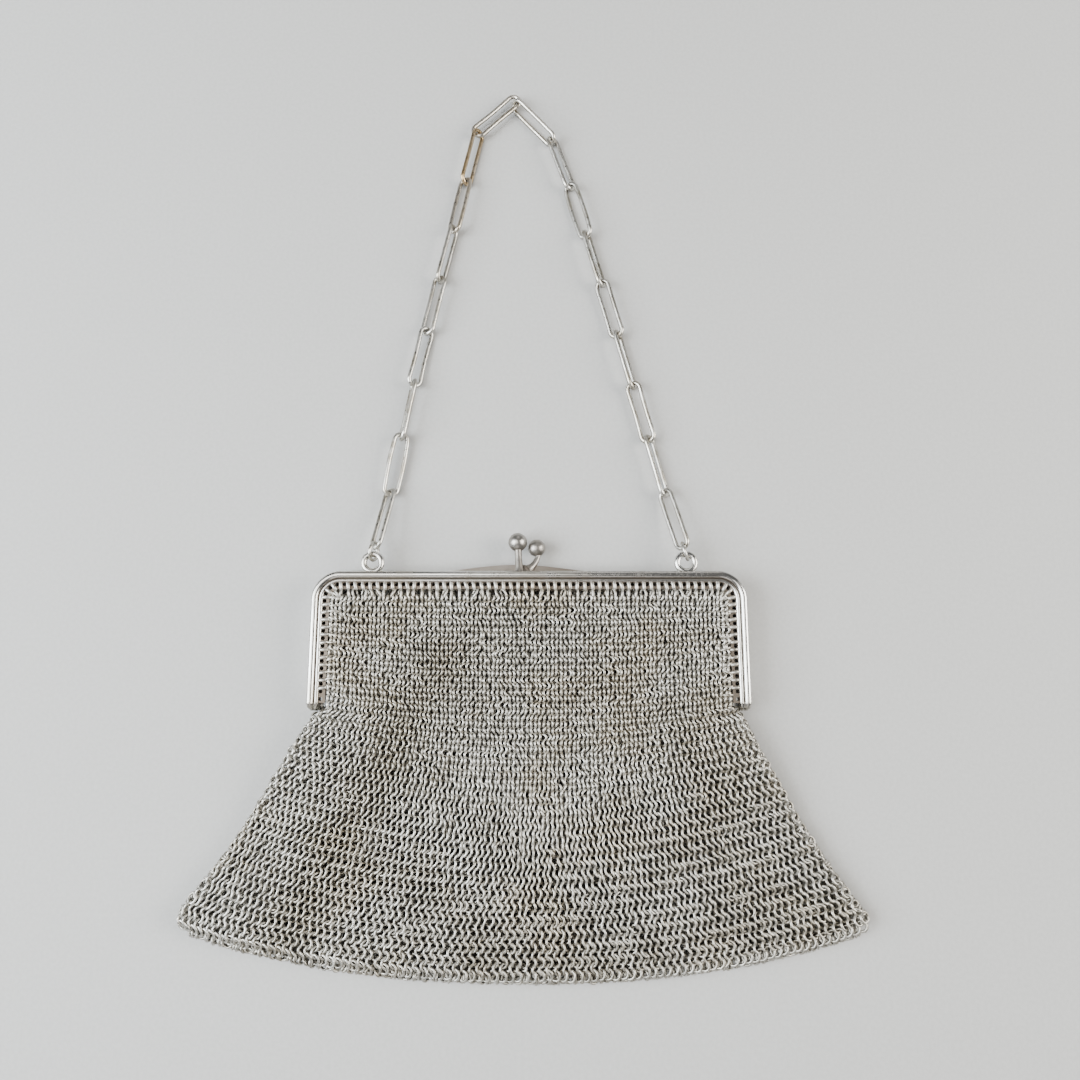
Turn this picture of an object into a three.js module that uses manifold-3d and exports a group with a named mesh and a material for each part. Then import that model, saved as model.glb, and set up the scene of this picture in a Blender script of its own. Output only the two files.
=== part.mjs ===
// A metal mesh purse, lying flat on its back: millimetres, +Z up, underside at z = 0.
// +X runs along the frame to the right, +Y from the bag towards the chain handle.
// The origin is on the underside of the bag, in the middle of the frame.
import * as THREE from 'three';
import { mergeVertices } from 'three/addons/utils/BufferGeometryUtils.js';
import Module from 'manifold-3d';

const wasm = await Module();
wasm.setup();

// Frame: two U-shaped halves, hinged at the ends of their legs
const FRAME_WIDTH = 130;
const FRAME_TOP = 24;
const LEG_LENGTH = 39.2;
const CORNER_RADIUS = 8.5;
const CLOSED_DEPTH = 9.2;
const CLEARANCE = 0.3;
const RAIL_WIDTH = 2.2;
const BAND_WIDTH = 1.2;
const BAND_STEP = 0.7;
const GROOVE_DEPTH = 0.35;
const FLANGE_WIDTH = 2.0;
const FLANGE_THICKNESS = 0.8;
const FLANGE_STEP = 1.2;
const HOLE_DIAMETER = 0.9;
const HOLE_EDGE = 1.4;
const HOLE_PITCH = 2.2;
const NOSE_LENGTH = 2.3;
const NOSE_TURNS = [32, 58, 78];
const RAIL_TURN = 155;
const BAND_TOP = [0.3, 0.8];
const BACK_BOW = { height: 2.4, centre: -4, reach: 30 };

// Hinge: a tongue of the back half between two cheeks of the front half, on a rivet
const LOBE_RADIUS = 2.0;
const TONGUE_THICKNESS = 1.0;
const RIVET_DIAMETER = 1.4;
const RIVET_HEAD_DIAMETER = 2.4;
const RIVET_HEAD_THICKNESS = 0.4;
const CHEEK_INSET = 0.6;
const TONGUE_ARC = { start: 45, turn: 256, neck: 1.4 };

// Kiss lock: one ball on each half, side by side
const FRONT_LOCK = { ball: 5.7, stem: 2.3, foot: -3.0, x: -3.6, rise: 9.2, depth: 0.8, root: 2.0 };
const BACK_LOCK = { ball: 5.3, stem: 1.8, foot: 0.6, x: 2.2, rise: 7.6, depth: 0.6, root: 1.3 };
const STEM_BEND = 1.2;

// Eyelets on the front half and the jump rings in them
const EYELET_INSET = 17.7;
const EYELET_HOLE = 3.5;
const EYELET_WIRE = 1.85;
const EYELET_RISE = 2.7;
const RING_WIRE = 1.0;

// Chain of long links, lying on the surface
const LINK_WIRE = 1.25;
const LINK_WIDTH = 5.55;
const LINK_PITCH = 18.2;
const CHAIN_CLEARANCE = 0.45;
const RING_LEAN = 76;
const FLOOR_GAP = 0.05;
const SETTLE_PASSES = 400;

// Bag: one hollow sheet of ring mesh, open along the frame
const SHEET = 1.8;
const BAG_HEIGHT = 109.8;
const BAG_WIDTH = 199;
const BAG_THICKNESS = 4.9;
const SAG_REACH = 40;
const EDGE_ROUND = 2.4;
const EDGE_SHARE = 0.28;
const ROW_BOW_POWER = 2.3;
const INSIDE_ROWS = [0, 3, 4, 5, 6, 7, 8, 9, 10, 11, 12, 12.7];
const INSIDE_WALL = 2.2;
const MOUTH_REACH = 2;

// Facets round each kind of shape
const FACETS = {
  corner: 6, bow: 12, rail: 6, stem: 8, stemLength: 4, ball: 12, ballHeight: 8, eyelet: 16,
  eyeletWire: 8, hole: 6, backHole: 4, cheek: 14, pin: 12, tongue: 9, wire: 6, linkEnd: 6, ring: 14,
};

// Worked out from the sizes above
const HALF_DEPTH = CLOSED_DEPTH / 2;
const BAND_OUT = HALF_DEPTH - BAND_STEP;
const FLANGE_OUT = HALF_DEPTH - FLANGE_STEP;
const RAIL_AND_BAND = RAIL_WIDTH + BAND_WIDTH;
const FLANGE_EDGE = RAIL_AND_BAND + FLANGE_WIDTH;
const HINGE_Y = FRAME_TOP - LEG_LENGTH;
const KNUCKLE_END = HINGE_Y - LOBE_RADIUS;
const LEG_END = KNUCKLE_END + NOSE_LENGTH;
const BACK_LEG_END = HINGE_Y + LOBE_RADIUS + 2 * CLEARANCE;
const BAG_EDGE = FLANGE_EDGE + CLEARANCE;
const BAG_TOP = FRAME_TOP - BAG_EDGE;
const BAG_NECK = FRAME_WIDTH / 2 - BAG_EDGE;
const EYELET_SPACING = FRAME_WIDTH - 2 * EYELET_INSET;
const LINK_SPAN = LINK_PITCH + LINK_WIRE + CHAIN_CLEARANCE;
const RING_RADIUS = (EYELET_WIRE + LINK_WIRE + 3 * CHAIN_CLEARANCE + RING_WIRE) / 2;
const BAG_CORNER = Math.max(CORNER_RADIUS - BAG_EDGE, 0);
const HELD_DROP = BAG_TOP - (HINGE_Y - RIVET_HEAD_DIAMETER / 2);

// Rows of the bag from the flange down. middle and side are shares of the bag's height, of
// which the share down to the held row's side is as long as the frame's legs. left and right
// are shares of the way from the neck out to half of the bag's full width.
const BAG_ROWS = [
  { middle: 0.000, side: 0.000, left: 0.000, right: 0.000 },
  { middle: 0.008, side: 0.008, left: 0.000, right: 0.000 },
  { middle: 0.024, side: 0.023, left: 0.000, right: 0.000 },
  { middle: 0.120, side: 0.104, left: 0.000, right: 0.000 },
  { middle: 0.225, side: 0.200, left: 0.000, right: 0.000 },
  { middle: 0.350, side: 0.312, left: 0.000, right: 0.000 },
  { middle: 0.380, side: 0.334, left: 0.090, right: 0.075 },
  { middle: 0.480, side: 0.416, left: 0.240, right: 0.185 },
  { middle: 0.600, side: 0.506, left: 0.385, right: 0.320 },
  { middle: 0.715, side: 0.603, left: 0.535, right: 0.465 },
  { middle: 0.810, side: 0.689, left: 0.690, right: 0.610 },
  { middle: 0.890, side: 0.767, left: 0.850, right: 0.755 },
  { middle: 0.945, side: 0.822, left: 0.980, right: 0.870 },
  { middle: 0.980, side: 0.852, left: 1.005, right: 0.920 },
  { middle: 1.000, side: 0.884, left: 0.930, right: 0.880 },
];
const HELD_ROW = BAG_ROWS.findLastIndex(({ left, right }) => left === 0 && right === 0);

// Columns of the bag, as shares of the way from its left edge to its right edge
const BAG_COLUMNS = [
  0, 0.008, 0.03, 0.08, 0.15, 0.22, 0.29, 0.36, 0.44, 0.52, 0.60, 0.67, 0.74, 0.80, 0.86, 0.92, 0.97,
  0.992, 1,
];

// Folds of the front sheet. Each runs from a top point to a bottom point: x as a share of
// half the bag's width, y as a share of its height; lift in sheets, width in sag reaches.
const FOLDS = [
  { topX: -0.28, topY: 0.33, bottomX: -0.72, bottomY: 0.95, lift: -0.42, width: 0.17 },
  { topX: -0.40, topY: 0.36, bottomX: -0.86, bottomY: 0.88, lift: 0.36, width: 0.20 },
  { topX: 0.46, topY: 0.30, bottomX: 0.78, bottomY: 0.92, lift: -0.34, width: 0.18 },
  { topX: 0.56, topY: 0.42, bottomX: 0.90, bottomY: 0.86, lift: 0.26, width: 0.16 },
  { topX: 0.02, topY: 0.40, bottomX: -0.08, bottomY: 0.90, lift: 0.22, width: 0.40 },
];

// Chain joints from the left eyelet round to the right one, and how far the link that
// ends there leans over on its side, in degrees. The last link ends at the right eyelet.
const CHAIN_ROUTE = [
  { x: -43.0, y: 50.9, lean: -45 },
  { x: -40.4, y: 68.8, lean: 20 },
  { x: -37.1, y: 86.5, lean: -68 },
  { x: -33.2, y: 105.2, lean: 40 },
  { x: -29.0, y: 123.0, lean: -28 },
  { x: -24.7, y: 140.8, lean: 70 },
  { x: -21.2, y: 158.6, lean: -34 },
  { x: -18.0, y: 175.9, lean: 54 },
  { x: -4.9, y: 187.0, lean: -2 },
  { x: 6.9, y: 173.2, lean: 60 },
  { x: 12.9, y: 156.4, lean: -42 },
  { x: 17.8, y: 139.2, lean: 36 },
  { x: 22.8, y: 122.0, lean: -58 },
  { x: 27.5, y: 104.4, lean: 30 },
  { x: 32.3, y: 86.8, lean: -60 },
  { x: 36.9, y: 69.1, lean: 26 },
  { x: 41.8, y: 51.3, lean: -52 },
];
const LAST_LEAN = 44;
const LEANS = [...CHAIN_ROUTE.map(({ lean }) => lean), LAST_LEAN];

const SILVER = new THREE.MeshStandardMaterial({ color: 0xc9c8c4, roughness: 0.25, metalness: 1 });
const CHAIN_SILVER = new THREE.MeshStandardMaterial({ color: 0xd2d0c8, roughness: 0.3, metalness: 1 });
const MESH_SILVER = new THREE.MeshStandardMaterial({ color: 0x9c9890, roughness: 0.5, metalness: 0.9 });

// Makes a closed geometry of points and faces, with the faces turned outwards
function closedGeometry(points, faces) {
  const position = new Float32Array(points.flatMap((p) => [p.x, p.y, p.z]));
  let volume = 0;
  const cross = new THREE.Vector3();
  for (const [a, b, c] of faces) {
    volume += points[a].dot(cross.crossVectors(points[b], points[c]));
  }
  const turned = volume < 0 ? faces.map(([a, b, c]) => [a, c, b]) : faces;
  const geometry = new THREE.BufferGeometry();
  geometry.setAttribute('position', new THREE.BufferAttribute(position, 3));
  geometry.setIndex(turned.flat());
  return geometry;
}

function toSolid(geometry) {
  geometry.deleteAttribute('normal');
  geometry.deleteAttribute('uv');
  const merged = mergeVertices(geometry, 1e-4);
  return new wasm.Manifold(new wasm.Mesh({
    numProp: 3,
    vertProperties: new Float32Array(merged.attributes.position.array),
    triVerts: new Uint32Array(merged.index.array),
  }));
}

function toGeometry(solid) {
  const { vertProperties, triVerts } = solid.getMesh();
  const geometry = new THREE.BufferGeometry();
  geometry.setAttribute('position', new THREE.BufferAttribute(vertProperties, 3));
  geometry.setIndex(Array.from(triVerts));
  return geometry;
}

// Triangles of a flat outline, wound the way that the outline runs
function capFaces(outline) {
  const faces = THREE.ShapeUtils.triangulateShape(outline, []);
  const sameWay = ([a, b, c]) => {
    const area = THREE.ShapeUtils.area([outline[a], outline[b], outline[c]]);
    return area * THREE.ShapeUtils.area(outline) > 0;
  };
  return faces.map((face) => (sameWay(face) ? face : [face[0], face[2], face[1]]));
}

// Joins rings of points into one skin. With a cap outline the two ends are closed,
// and without one the last ring joins the first.
function loft(rings, capOutline = null) {
  const count = rings[0].length;
  const points = rings.flat();
  const faces = [];
  const spans = capOutline ? rings.length - 1 : rings.length;
  for (let j = 0; j < spans; j += 1) {
    const next = (j + 1) % rings.length;
    for (let k = 0; k < count; k += 1) {
      const a = j * count + k;
      const b = j * count + (k + 1) % count;
      const c = next * count + (k + 1) % count;
      const d = next * count + k;
      faces.push([a, b, c], [a, c, d]);
    }
  }
  if (capOutline) {
    const last = (rings.length - 1) * count;
    for (const [a, b, c] of capFaces(capOutline)) {
      faces.push([a, c, b], [last + a, last + b, last + c]);
    }
  }
  return closedGeometry(points, faces);
}

// A circle of points round a centre, in the plane of two directions
function circle(centre, across, up, radius, sides) {
  return Array.from({ length: sides }, (_, k) => {
    const angle = (k / sides) * 2 * Math.PI;
    return centre.clone()
      .addScaledVector(across, radius * Math.cos(angle))
      .addScaledVector(up, radius * Math.sin(angle));
  });
}

// A round bar along a smooth curve, with flat ends
function bar(points, radius, sides, steps) {
  const curve = new THREE.CatmullRomCurve3(points);
  const { normals, binormals } = curve.computeFrenetFrames(steps, false);
  const rings = normals.map((normal, j) => (
    circle(curve.getPoint(j / steps), normal, binormals[j], radius, sides)));
  const flat = circle(new THREE.Vector3(), new THREE.Vector3(1, 0, 0),
    new THREE.Vector3(0, 1, 0), radius, sides).map((p) => new THREE.Vector2(p.x, p.y));
  return loft(rings, flat);
}

// A closed solid between a front and a back grid of points with the same rows and columns
function slab(front, back) {
  const rows = front.length;
  const columns = front[0].length;
  const points = [...front.flat(), ...back.flat()];
  const under = rows * columns;
  const faces = [];
  const quad = (a, b, c, d) => faces.push([a, b, c], [a, c, d]);
  for (let j = 0; j < rows - 1; j += 1) {
    for (let i = 0; i < columns - 1; i += 1) {
      const a = j * columns + i;
      quad(a, a + columns, a + columns + 1, a + 1);
      quad(under + a, under + a + 1, under + a + columns + 1, under + a + columns);
    }
    const left = j * columns;
    const right = left + columns - 1;
    quad(left, under + left, under + left + columns, left + columns);
    quad(right, right + columns, under + right + columns, under + right);
  }
  const last = (rows - 1) * columns;
  for (let i = 0; i < columns - 1; i += 1) {
    quad(i, i + 1, under + i + 1, under + i);
    quad(last + i, under + last + i, under + last + i + 1, last + i + 1);
  }
  return closedGeometry(points, faces);
}

// A cylinder on the hinge's axis
function xAxisCylinder(radius, fromX, toX, sides) {
  const geometry = new THREE.CylinderGeometry(radius, radius, Math.abs(toX - fromX), sides);
  geometry.rotateZ(Math.PI / 2);
  geometry.translate((fromX + toX) / 2, HINGE_Y, HALF_DEPTH);
  return geometry;
}

function boxBetween(low, high) {
  const geometry = new THREE.BoxGeometry(high[0] - low[0], high[1] - low[1], high[2] - low[2]);
  geometry.translate((low[0] + high[0]) / 2, (low[1] + high[1]) / 2, (low[2] + high[2]) / 2);
  return geometry;
}

function smoothStep(share) {
  const t = Math.min(Math.max(share, 0), 1);
  return t * t * (3 - 2 * t);
}

// How far the back half's top rail is bent up at x: one smooth hump
function bowAt(x) {
  const share = (x - BACK_BOW.centre) / BACK_BOW.reach;
  return Math.abs(share) < 1 ? BACK_BOW.height * Math.cos((share * Math.PI) / 2) ** 2 : 0;
}

// Stations along the frame's outer edge from the left leg's end to the right leg's end,
// each with the direction that points into the U
function frameStations(legEnd, bowed) {
  const side = FRAME_WIDTH / 2;
  const turnX = side - CORNER_RADIUS;
  const turnY = FRAME_TOP - CORNER_RADIUS;
  const left = [{ x: -side, y: legEnd, inX: 1, inY: 0 }];
  for (let k = 0; k <= FACETS.corner; k += 1) {
    const angle = Math.PI - (k / FACETS.corner) * (Math.PI / 2);
    left.push({
      x: -turnX + CORNER_RADIUS * Math.cos(angle),
      y: turnY + CORNER_RADIUS * Math.sin(angle),
      inX: -Math.cos(angle),
      inY: -Math.sin(angle),
    });
  }
  const right = left.map(({ x, y, inX, inY }) => ({ x: -x, y, inX: -inX, inY })).reverse();
  const top = Array.from({ length: bowed ? FACETS.bow + 1 : 0 }, (_, k) => {
    const x = BACK_BOW.centre + BACK_BOW.reach * ((2 * k) / FACETS.bow - 1);
    return { x, y: FRAME_TOP + bowAt(x), inX: 0, inY: -1 };
  });
  return [...left, ...top, ...right];
}

// The rail's section: distance in from the outer edge, and out from the parting plane
function railSection() {
  const shoulder = HALF_DEPTH - RAIL_WIDTH / 2;
  const points = [[0, CLEARANCE / 2]];
  for (let k = 0; k <= FACETS.rail; k += 1) {
    const angle = Math.PI - (k / FACETS.rail) * THREE.MathUtils.degToRad(RAIL_TURN);
    points.push([
      RAIL_WIDTH / 2 + (RAIL_WIDTH / 2) * Math.cos(angle),
      shoulder + (RAIL_WIDTH / 2) * Math.sin(angle),
    ]);
  }
  points.push([RAIL_WIDTH, BAND_OUT - GROOVE_DEPTH]);
  for (const share of BAND_TOP) {
    points.push([RAIL_WIDTH + BAND_WIDTH * share, BAND_OUT]);
  }
  points.push([RAIL_AND_BAND, BAND_OUT - GROOVE_DEPTH]);
  points.push([RAIL_AND_BAND, CLEARANCE / 2]);
  return points.map(([inward, out]) => new THREE.Vector2(inward, out));
}

// The rail of one half. out is +1 for the front half and -1 for the back half.
function rail(out, legEnd, bowed, nosed) {
  const section = railSection();
  const place = ({ x, y, inX, inY }, scale = 1) => section.map((p) => {
    const middle = RAIL_AND_BAND / 2;
    const inward = middle + (p.x - middle) * scale;
    const depth = CLEARANCE / 2 + (p.y - CLEARANCE / 2) * scale;
    return new THREE.Vector3(x + inX * inward, y + inY * inward, HALF_DEPTH + out * depth);
  });
  const stations = frameStations(legEnd, bowed);
  const rings = stations.map((station) => place(station));
  if (nosed) {
    for (const degrees of NOSE_TURNS) {
      const angle = THREE.MathUtils.degToRad(degrees);
      const drop = NOSE_LENGTH * Math.sin(angle);
      const first = { ...stations[0], y: legEnd - drop };
      const last = { ...stations[stations.length - 1], y: legEnd - drop };
      rings.unshift(place(first, Math.cos(angle)));
      rings.push(place(last, Math.cos(angle)));
    }
  }
  return loft(rings, section);
}

// Points at one distance in from the frame's outer edge
function insetLine(inset, legEnd, bowed) {
  return frameStations(legEnd, bowed).map(({ x, y, inX, inY }) => (
    new THREE.Vector2(x + inX * inset, y + inY * inset)));
}

// Centres of the flange holes, evenly spaced along their own line
function holeCentres(pitch) {
  const line = insetLine(FLANGE_EDGE - HOLE_EDGE, BACK_LEG_END + HOLE_PITCH / 2, false);
  const lengths = line.slice(1).map((p, k) => p.distanceTo(line[k]));
  const total = lengths.reduce((sum, length) => sum + length, 0);
  const count = Math.round(total / pitch) + 1;
  return Array.from({ length: count }, (_, k) => {
    let along = (total * k) / (count - 1);
    let piece = 0;
    while (piece < lengths.length - 1 && along > lengths[piece]) {
      along -= lengths[piece];
      piece += 1;
    }
    return line[piece].clone().lerp(line[piece + 1], Math.min(along / lengths[piece], 1));
  });
}

// The pierced flange of one half
function flange(out, bowed, pitch, holeSides) {
  const outer = insetLine(RAIL_WIDTH + BAND_WIDTH / 2, BACK_LEG_END, bowed);
  const inner = insetLine(FLANGE_EDGE, BACK_LEG_END, false).reverse();
  const shape = new THREE.Shape([...outer, ...inner]);
  for (const centre of holeCentres(pitch)) {
    const rim = Array.from({ length: holeSides }, (_, k) => {
      const angle = (k / holeSides) * 2 * Math.PI;
      return new THREE.Vector2(Math.cos(angle), Math.sin(angle))
        .multiplyScalar(HOLE_DIAMETER / 2).add(centre);
    });
    shape.holes.push(new THREE.Path(rim));
  }
  const plate = new THREE.ExtrudeGeometry(shape, { depth: FLANGE_THICKNESS, bevelEnabled: false });
  plate.translate(0, 0, HALF_DEPTH + out * (FLANGE_OUT - FLANGE_THICKNESS / 2) - FLANGE_THICKNESS / 2);
  return plate;
}

// A ball on a stem that rises from the top rail of one half and leans over
function lock(out, { ball, stem, foot, x, rise, depth, root }, bend) {
  const start = new THREE.Vector3(foot, FRAME_TOP - RAIL_WIDTH / 2, HALF_DEPTH + out * root);
  const centre = new THREE.Vector3(x, FRAME_TOP + rise, HALF_DEPTH + out * depth);
  const middle = start.clone().lerp(centre, 0.5);
  middle.x += bend;
  const neck = bar([start, middle, centre], stem / 2, FACETS.stem, FACETS.stemLength);
  const round = new THREE.SphereGeometry(ball / 2, FACETS.ball, FACETS.ballHeight);
  round.rotateX(Math.PI / 2);
  round.translate(centre.x, centre.y, centre.z);
  return toSolid(neck).add(toSolid(round));
}

function eyeletCentre(side) {
  return new THREE.Vector3(side * EYELET_SPACING / 2, FRAME_TOP + EYELET_RISE,
    HALF_DEPTH + HALF_DEPTH / 2);
}

function eyelet(side) {
  const ring = new THREE.TorusGeometry((EYELET_HOLE + EYELET_WIRE) / 2, EYELET_WIRE / 2,
    FACETS.eyeletWire, FACETS.eyelet);
  const centre = eyeletCentre(side);
  ring.translate(centre.x, centre.y, centre.z);
  return toSolid(ring);
}

// The middle of the hinge's tongue, across the leg
function tongueX(side) {
  return side * (FRAME_WIDTH / 2 - RAIL_AND_BAND / 2 - CHEEK_INSET / 2);
}

function frameFront() {
  let solid = toSolid(rail(1, LEG_END, false, true));
  solid = solid.add(toSolid(flange(1, false, HOLE_PITCH, FACETS.hole)));
  solid = solid.add(lock(1, FRONT_LOCK, 0));
  for (const side of [-1, 1]) {
    solid = solid.add(eyelet(side));
    const outerX = side * (FRAME_WIDTH / 2 - CHEEK_INSET);
    const innerX = side * (FRAME_WIDTH / 2 - RAIL_AND_BAND);
    const cheeks = xAxisCylinder(LOBE_RADIUS, outerX, innerX, FACETS.cheek);
    solid = solid.add(toSolid(cheeks));
    const slotHalf = TONGUE_THICKNESS / 2 + CLEARANCE;
    const slot = boxBetween(
      [tongueX(side) - slotHalf, KNUCKLE_END - 1, 0],
      [tongueX(side) + slotHalf, BACK_LEG_END + CLEARANCE, HALF_DEPTH + LOBE_RADIUS + CLEARANCE],
    );
    const sink = boxBetween(
      [Math.min(outerX, side * FRAME_WIDTH), KNUCKLE_END - 1, 0],
      [Math.max(outerX, side * FRAME_WIDTH), HINGE_Y + LOBE_RADIUS,
        HALF_DEPTH + RIVET_HEAD_DIAMETER / 2 + CLEARANCE],
    );
    for (const cut of [slot, rivetBore(side), sink]) {
      solid = solid.subtract(toSolid(cut));
    }
  }
  return solid;
}

// The back half's hinge tongue: a round lobe on the hinge axis with a neck up to the leg
function tongue(side) {
  const outline = [
    new THREE.Vector2(BACK_LEG_END + LOBE_RADIUS / 2, HALF_DEPTH - CLEARANCE),
    new THREE.Vector2(BACK_LEG_END, HALF_DEPTH - CLEARANCE),
  ];
  for (let k = 0; k <= FACETS.tongue; k += 1) {
    const angle = THREE.MathUtils.degToRad(
      TONGUE_ARC.start + (k / FACETS.tongue) * TONGUE_ARC.turn);
    outline.push(new THREE.Vector2(
      HINGE_Y + LOBE_RADIUS * Math.cos(angle),
      HALF_DEPTH + LOBE_RADIUS * Math.sin(angle),
    ));
  }
  outline.push(new THREE.Vector2(BACK_LEG_END + LOBE_RADIUS / 2, TONGUE_ARC.neck));
  const plate = new THREE.ExtrudeGeometry(new THREE.Shape(outline),
    { depth: TONGUE_THICKNESS, bevelEnabled: false });
  plate.rotateY(Math.PI / 2);
  plate.rotateX(Math.PI / 2);
  plate.translate(tongueX(side) - TONGUE_THICKNESS / 2, 0, 0);
  return plate;
}

function rivetBore(side) {
  const reach = side * (FRAME_WIDTH / 2 + RIVET_HEAD_THICKNESS);
  return xAxisCylinder(RIVET_DIAMETER / 2 + CLEARANCE, reach, reach - side * 2 * RAIL_AND_BAND,
    FACETS.pin);
}

function frameBack() {
  let solid = toSolid(rail(-1, BACK_LEG_END, true, false));
  solid = solid.add(toSolid(flange(-1, true, 2 * HOLE_PITCH, FACETS.backHole)));
  solid = solid.add(lock(-1, BACK_LOCK, STEM_BEND));
  for (const side of [-1, 1]) {
    solid = solid.add(toSolid(tongue(side))).subtract(toSolid(rivetBore(side)));
  }
  return solid;
}

// A rivet along X with a head outside and a head inside the cheeks
function rivet(side) {
  const outer = side * (FRAME_WIDTH / 2 - CHEEK_INSET + CLEARANCE);
  const inner = side * (FRAME_WIDTH / 2 - RAIL_AND_BAND - CLEARANCE);
  const thickness = side * RIVET_HEAD_THICKNESS;
  const head = RIVET_HEAD_DIAMETER / 2;
  const shank = xAxisCylinder(RIVET_DIAMETER / 2, outer + thickness / 2, inner - thickness / 2,
    FACETS.pin);
  const outerHead = xAxisCylinder(head, outer, outer + thickness, FACETS.pin);
  const innerHead = xAxisCylinder(head, inner, inner - thickness, FACETS.pin);
  return toSolid(shank).add(toSolid(outerHead)).add(toSolid(innerHead));
}

// How far down the bag a share of its height lies. The held part keeps the legs' length.
function dropAt(share) {
  const held = BAG_ROWS[HELD_ROW].side;
  return share < held
    ? (HELD_DROP * share) / held
    : HELD_DROP + ((BAG_HEIGHT - HELD_DROP) * (share - held)) / (1 - held);
}

// One row of the bag at a whole or broken row number: its edges and its heights. The top
// corners are rounded as the flange's are.
function bagRow(number) {
  const low = Math.min(Math.floor(number), BAG_ROWS.length - 2);
  const share = number - low;
  const mix = (name) => THREE.MathUtils.lerp(BAG_ROWS[low][name], BAG_ROWS[low + 1][name], share);
  const flare = BAG_WIDTH / 2 - BAG_NECK;
  const drop = dropAt(mix('side'));
  const rounded = BAG_CORNER - Math.sqrt(BAG_CORNER ** 2 - Math.max(BAG_CORNER - drop, 0) ** 2);
  return {
    middleY: BAG_TOP - dropAt(mix('middle')),
    sideY: BAG_TOP - drop,
    left: -BAG_NECK + rounded - mix('left') * flare,
    right: BAG_NECK - rounded + mix('right') * flare,
  };
}

// A row sags in the middle as a power of the distance from its middle
function rowHeight({ middleY, sideY }, share) {
  return middleY + (sideY - middleY) * Math.abs(2 * share - 1) ** ROW_BOW_POWER;
}

// Distance from the nearest stretch of flange that holds the front sheet up
function distanceToFlange(x, y) {
  const legFoot = bagRow(HELD_ROW).sideY;
  const below = Math.max(legFoot - y, 0);
  const toLeg = Math.hypot(BAG_NECK - Math.min(Math.abs(x), BAG_NECK), below);
  return Math.min(Math.max(BAG_TOP - y, 0), toLeg);
}

// Lift of the folds at a point, each a smooth ridge or valley along its line
function foldLift(x, y) {
  const at = (shareX, shareY) => new THREE.Vector2(
    (shareX * BAG_WIDTH) / 2, BAG_TOP - shareY * BAG_HEIGHT);
  let lift = 0;
  for (const fold of FOLDS) {
    const top = at(fold.topX, fold.topY);
    const run = at(fold.bottomX, fold.bottomY).sub(top);
    const along = new THREE.Vector2(x, y).sub(top).dot(run) / run.lengthSq();
    const across = new THREE.Vector2(x, y).sub(top).cross(run) / run.length();
    const ends = smoothStep(along * 4 + 0.5) * smoothStep((1 - along) * 4 + 0.5);
    lift += fold.lift * SHEET * Math.exp(-((across / (fold.width * SAG_REACH)) ** 2)) * ends;
  }
  return lift;
}

// Height of the top of the front sheet: held at the flange, sagging to the lower level
function bagTopZ(x, y) {
  const held = HALF_DEPTH + FLANGE_OUT - FLANGE_THICKNESS / 2 + SHEET / 2;
  const sag = smoothStep(distanceToFlange(x, y) / SAG_REACH);
  return held + (BAG_THICKNESS - held) * sag + foldLift(x, y) * sag;
}

// The outside of the bag, rounded along its side folds and its bottom fold
function bagOutside() {
  const front = [];
  const back = [];
  BAG_ROWS.forEach((_, number) => {
    const row = bagRow(number);
    const open = number <= HELD_ROW;
    const fromBottom = BAG_HEIGHT - dropAt(BAG_ROWS[number].middle);
    const line = BAG_COLUMNS.map((share) => {
      const x = THREE.MathUtils.lerp(row.left, row.right, share);
      const fromSide = open ? EDGE_ROUND : Math.min(x - row.left, row.right - x);
      const inside = Math.min(fromSide, fromBottom, EDGE_ROUND) / EDGE_ROUND;
      const round = Math.max(Math.sqrt(1 - (1 - inside) ** 2), EDGE_SHARE);
      const y = rowHeight(row, share);
      return { x, y, z: bagTopZ(x, y), round };
    });
    front.push(line.map(({ x, y, z, round }) => new THREE.Vector3(x, y, (z * (1 + round)) / 2)));
    back.push(line.map(({ x, y, z, round }) => new THREE.Vector3(x, y, (z * (1 - round)) / 2)));
  });
  return slab(front, back);
}

// The inside of the bag. It runs out through the mouth at the top and beside the legs.
function bagInside() {
  const columns = BAG_COLUMNS.filter((_, k) => k % 2 === 0);
  const front = [];
  const back = [];
  for (const number of INSIDE_ROWS) {
    const row = bagRow(number);
    const open = number <= HELD_ROW;
    const left = open ? -BAG_NECK - MOUTH_REACH : row.left + INSIDE_WALL;
    const right = open ? BAG_NECK + MOUTH_REACH : row.right - INSIDE_WALL;
    const rise = number === 0 ? MOUTH_REACH : 0;
    const line = columns.map((share) => {
      const x = THREE.MathUtils.lerp(left, right, share);
      const y = rowHeight(row, share) + rise;
      return { x, y, z: bagTopZ(x, y) - SHEET };
    });
    front.push(line.map(({ x, y, z }) => new THREE.Vector3(x, y, z)));
    back.push(line.map(({ x, y }) => new THREE.Vector3(x, y, SHEET)));
  }
  return slab(front, back);
}

// A closed ring of round wire: a loop of centre points in the XY plane, each with the
// direction in the plane that points out of the loop
function wireLoop(loop, wire, sides) {
  const up = new THREE.Vector3(0, 0, 1);
  return loft(loop.map(({ x, y, outX, outY }) => (
    circle(new THREE.Vector3(x, y, 0), new THREE.Vector3(outX, outY, 0), up, wire / 2, sides))));
}

// A long link: two straight sides along Y and two half circles
function linkGeometry() {
  const radius = (LINK_WIDTH - LINK_WIRE) / 2;
  const straight = LINK_SPAN / 2 - radius;
  const loop = [];
  for (const end of [1, -1]) {
    for (let k = 0; k <= FACETS.linkEnd; k += 1) {
      const angle = (k / FACETS.linkEnd) * Math.PI + (end < 0 ? Math.PI : 0);
      const outX = Math.cos(angle);
      const outY = Math.sin(angle);
      loop.push({ x: radius * outX, y: end * straight + radius * outY, outX, outY });
    }
  }
  return wireLoop(loop, LINK_WIRE, FACETS.wire);
}

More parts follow.
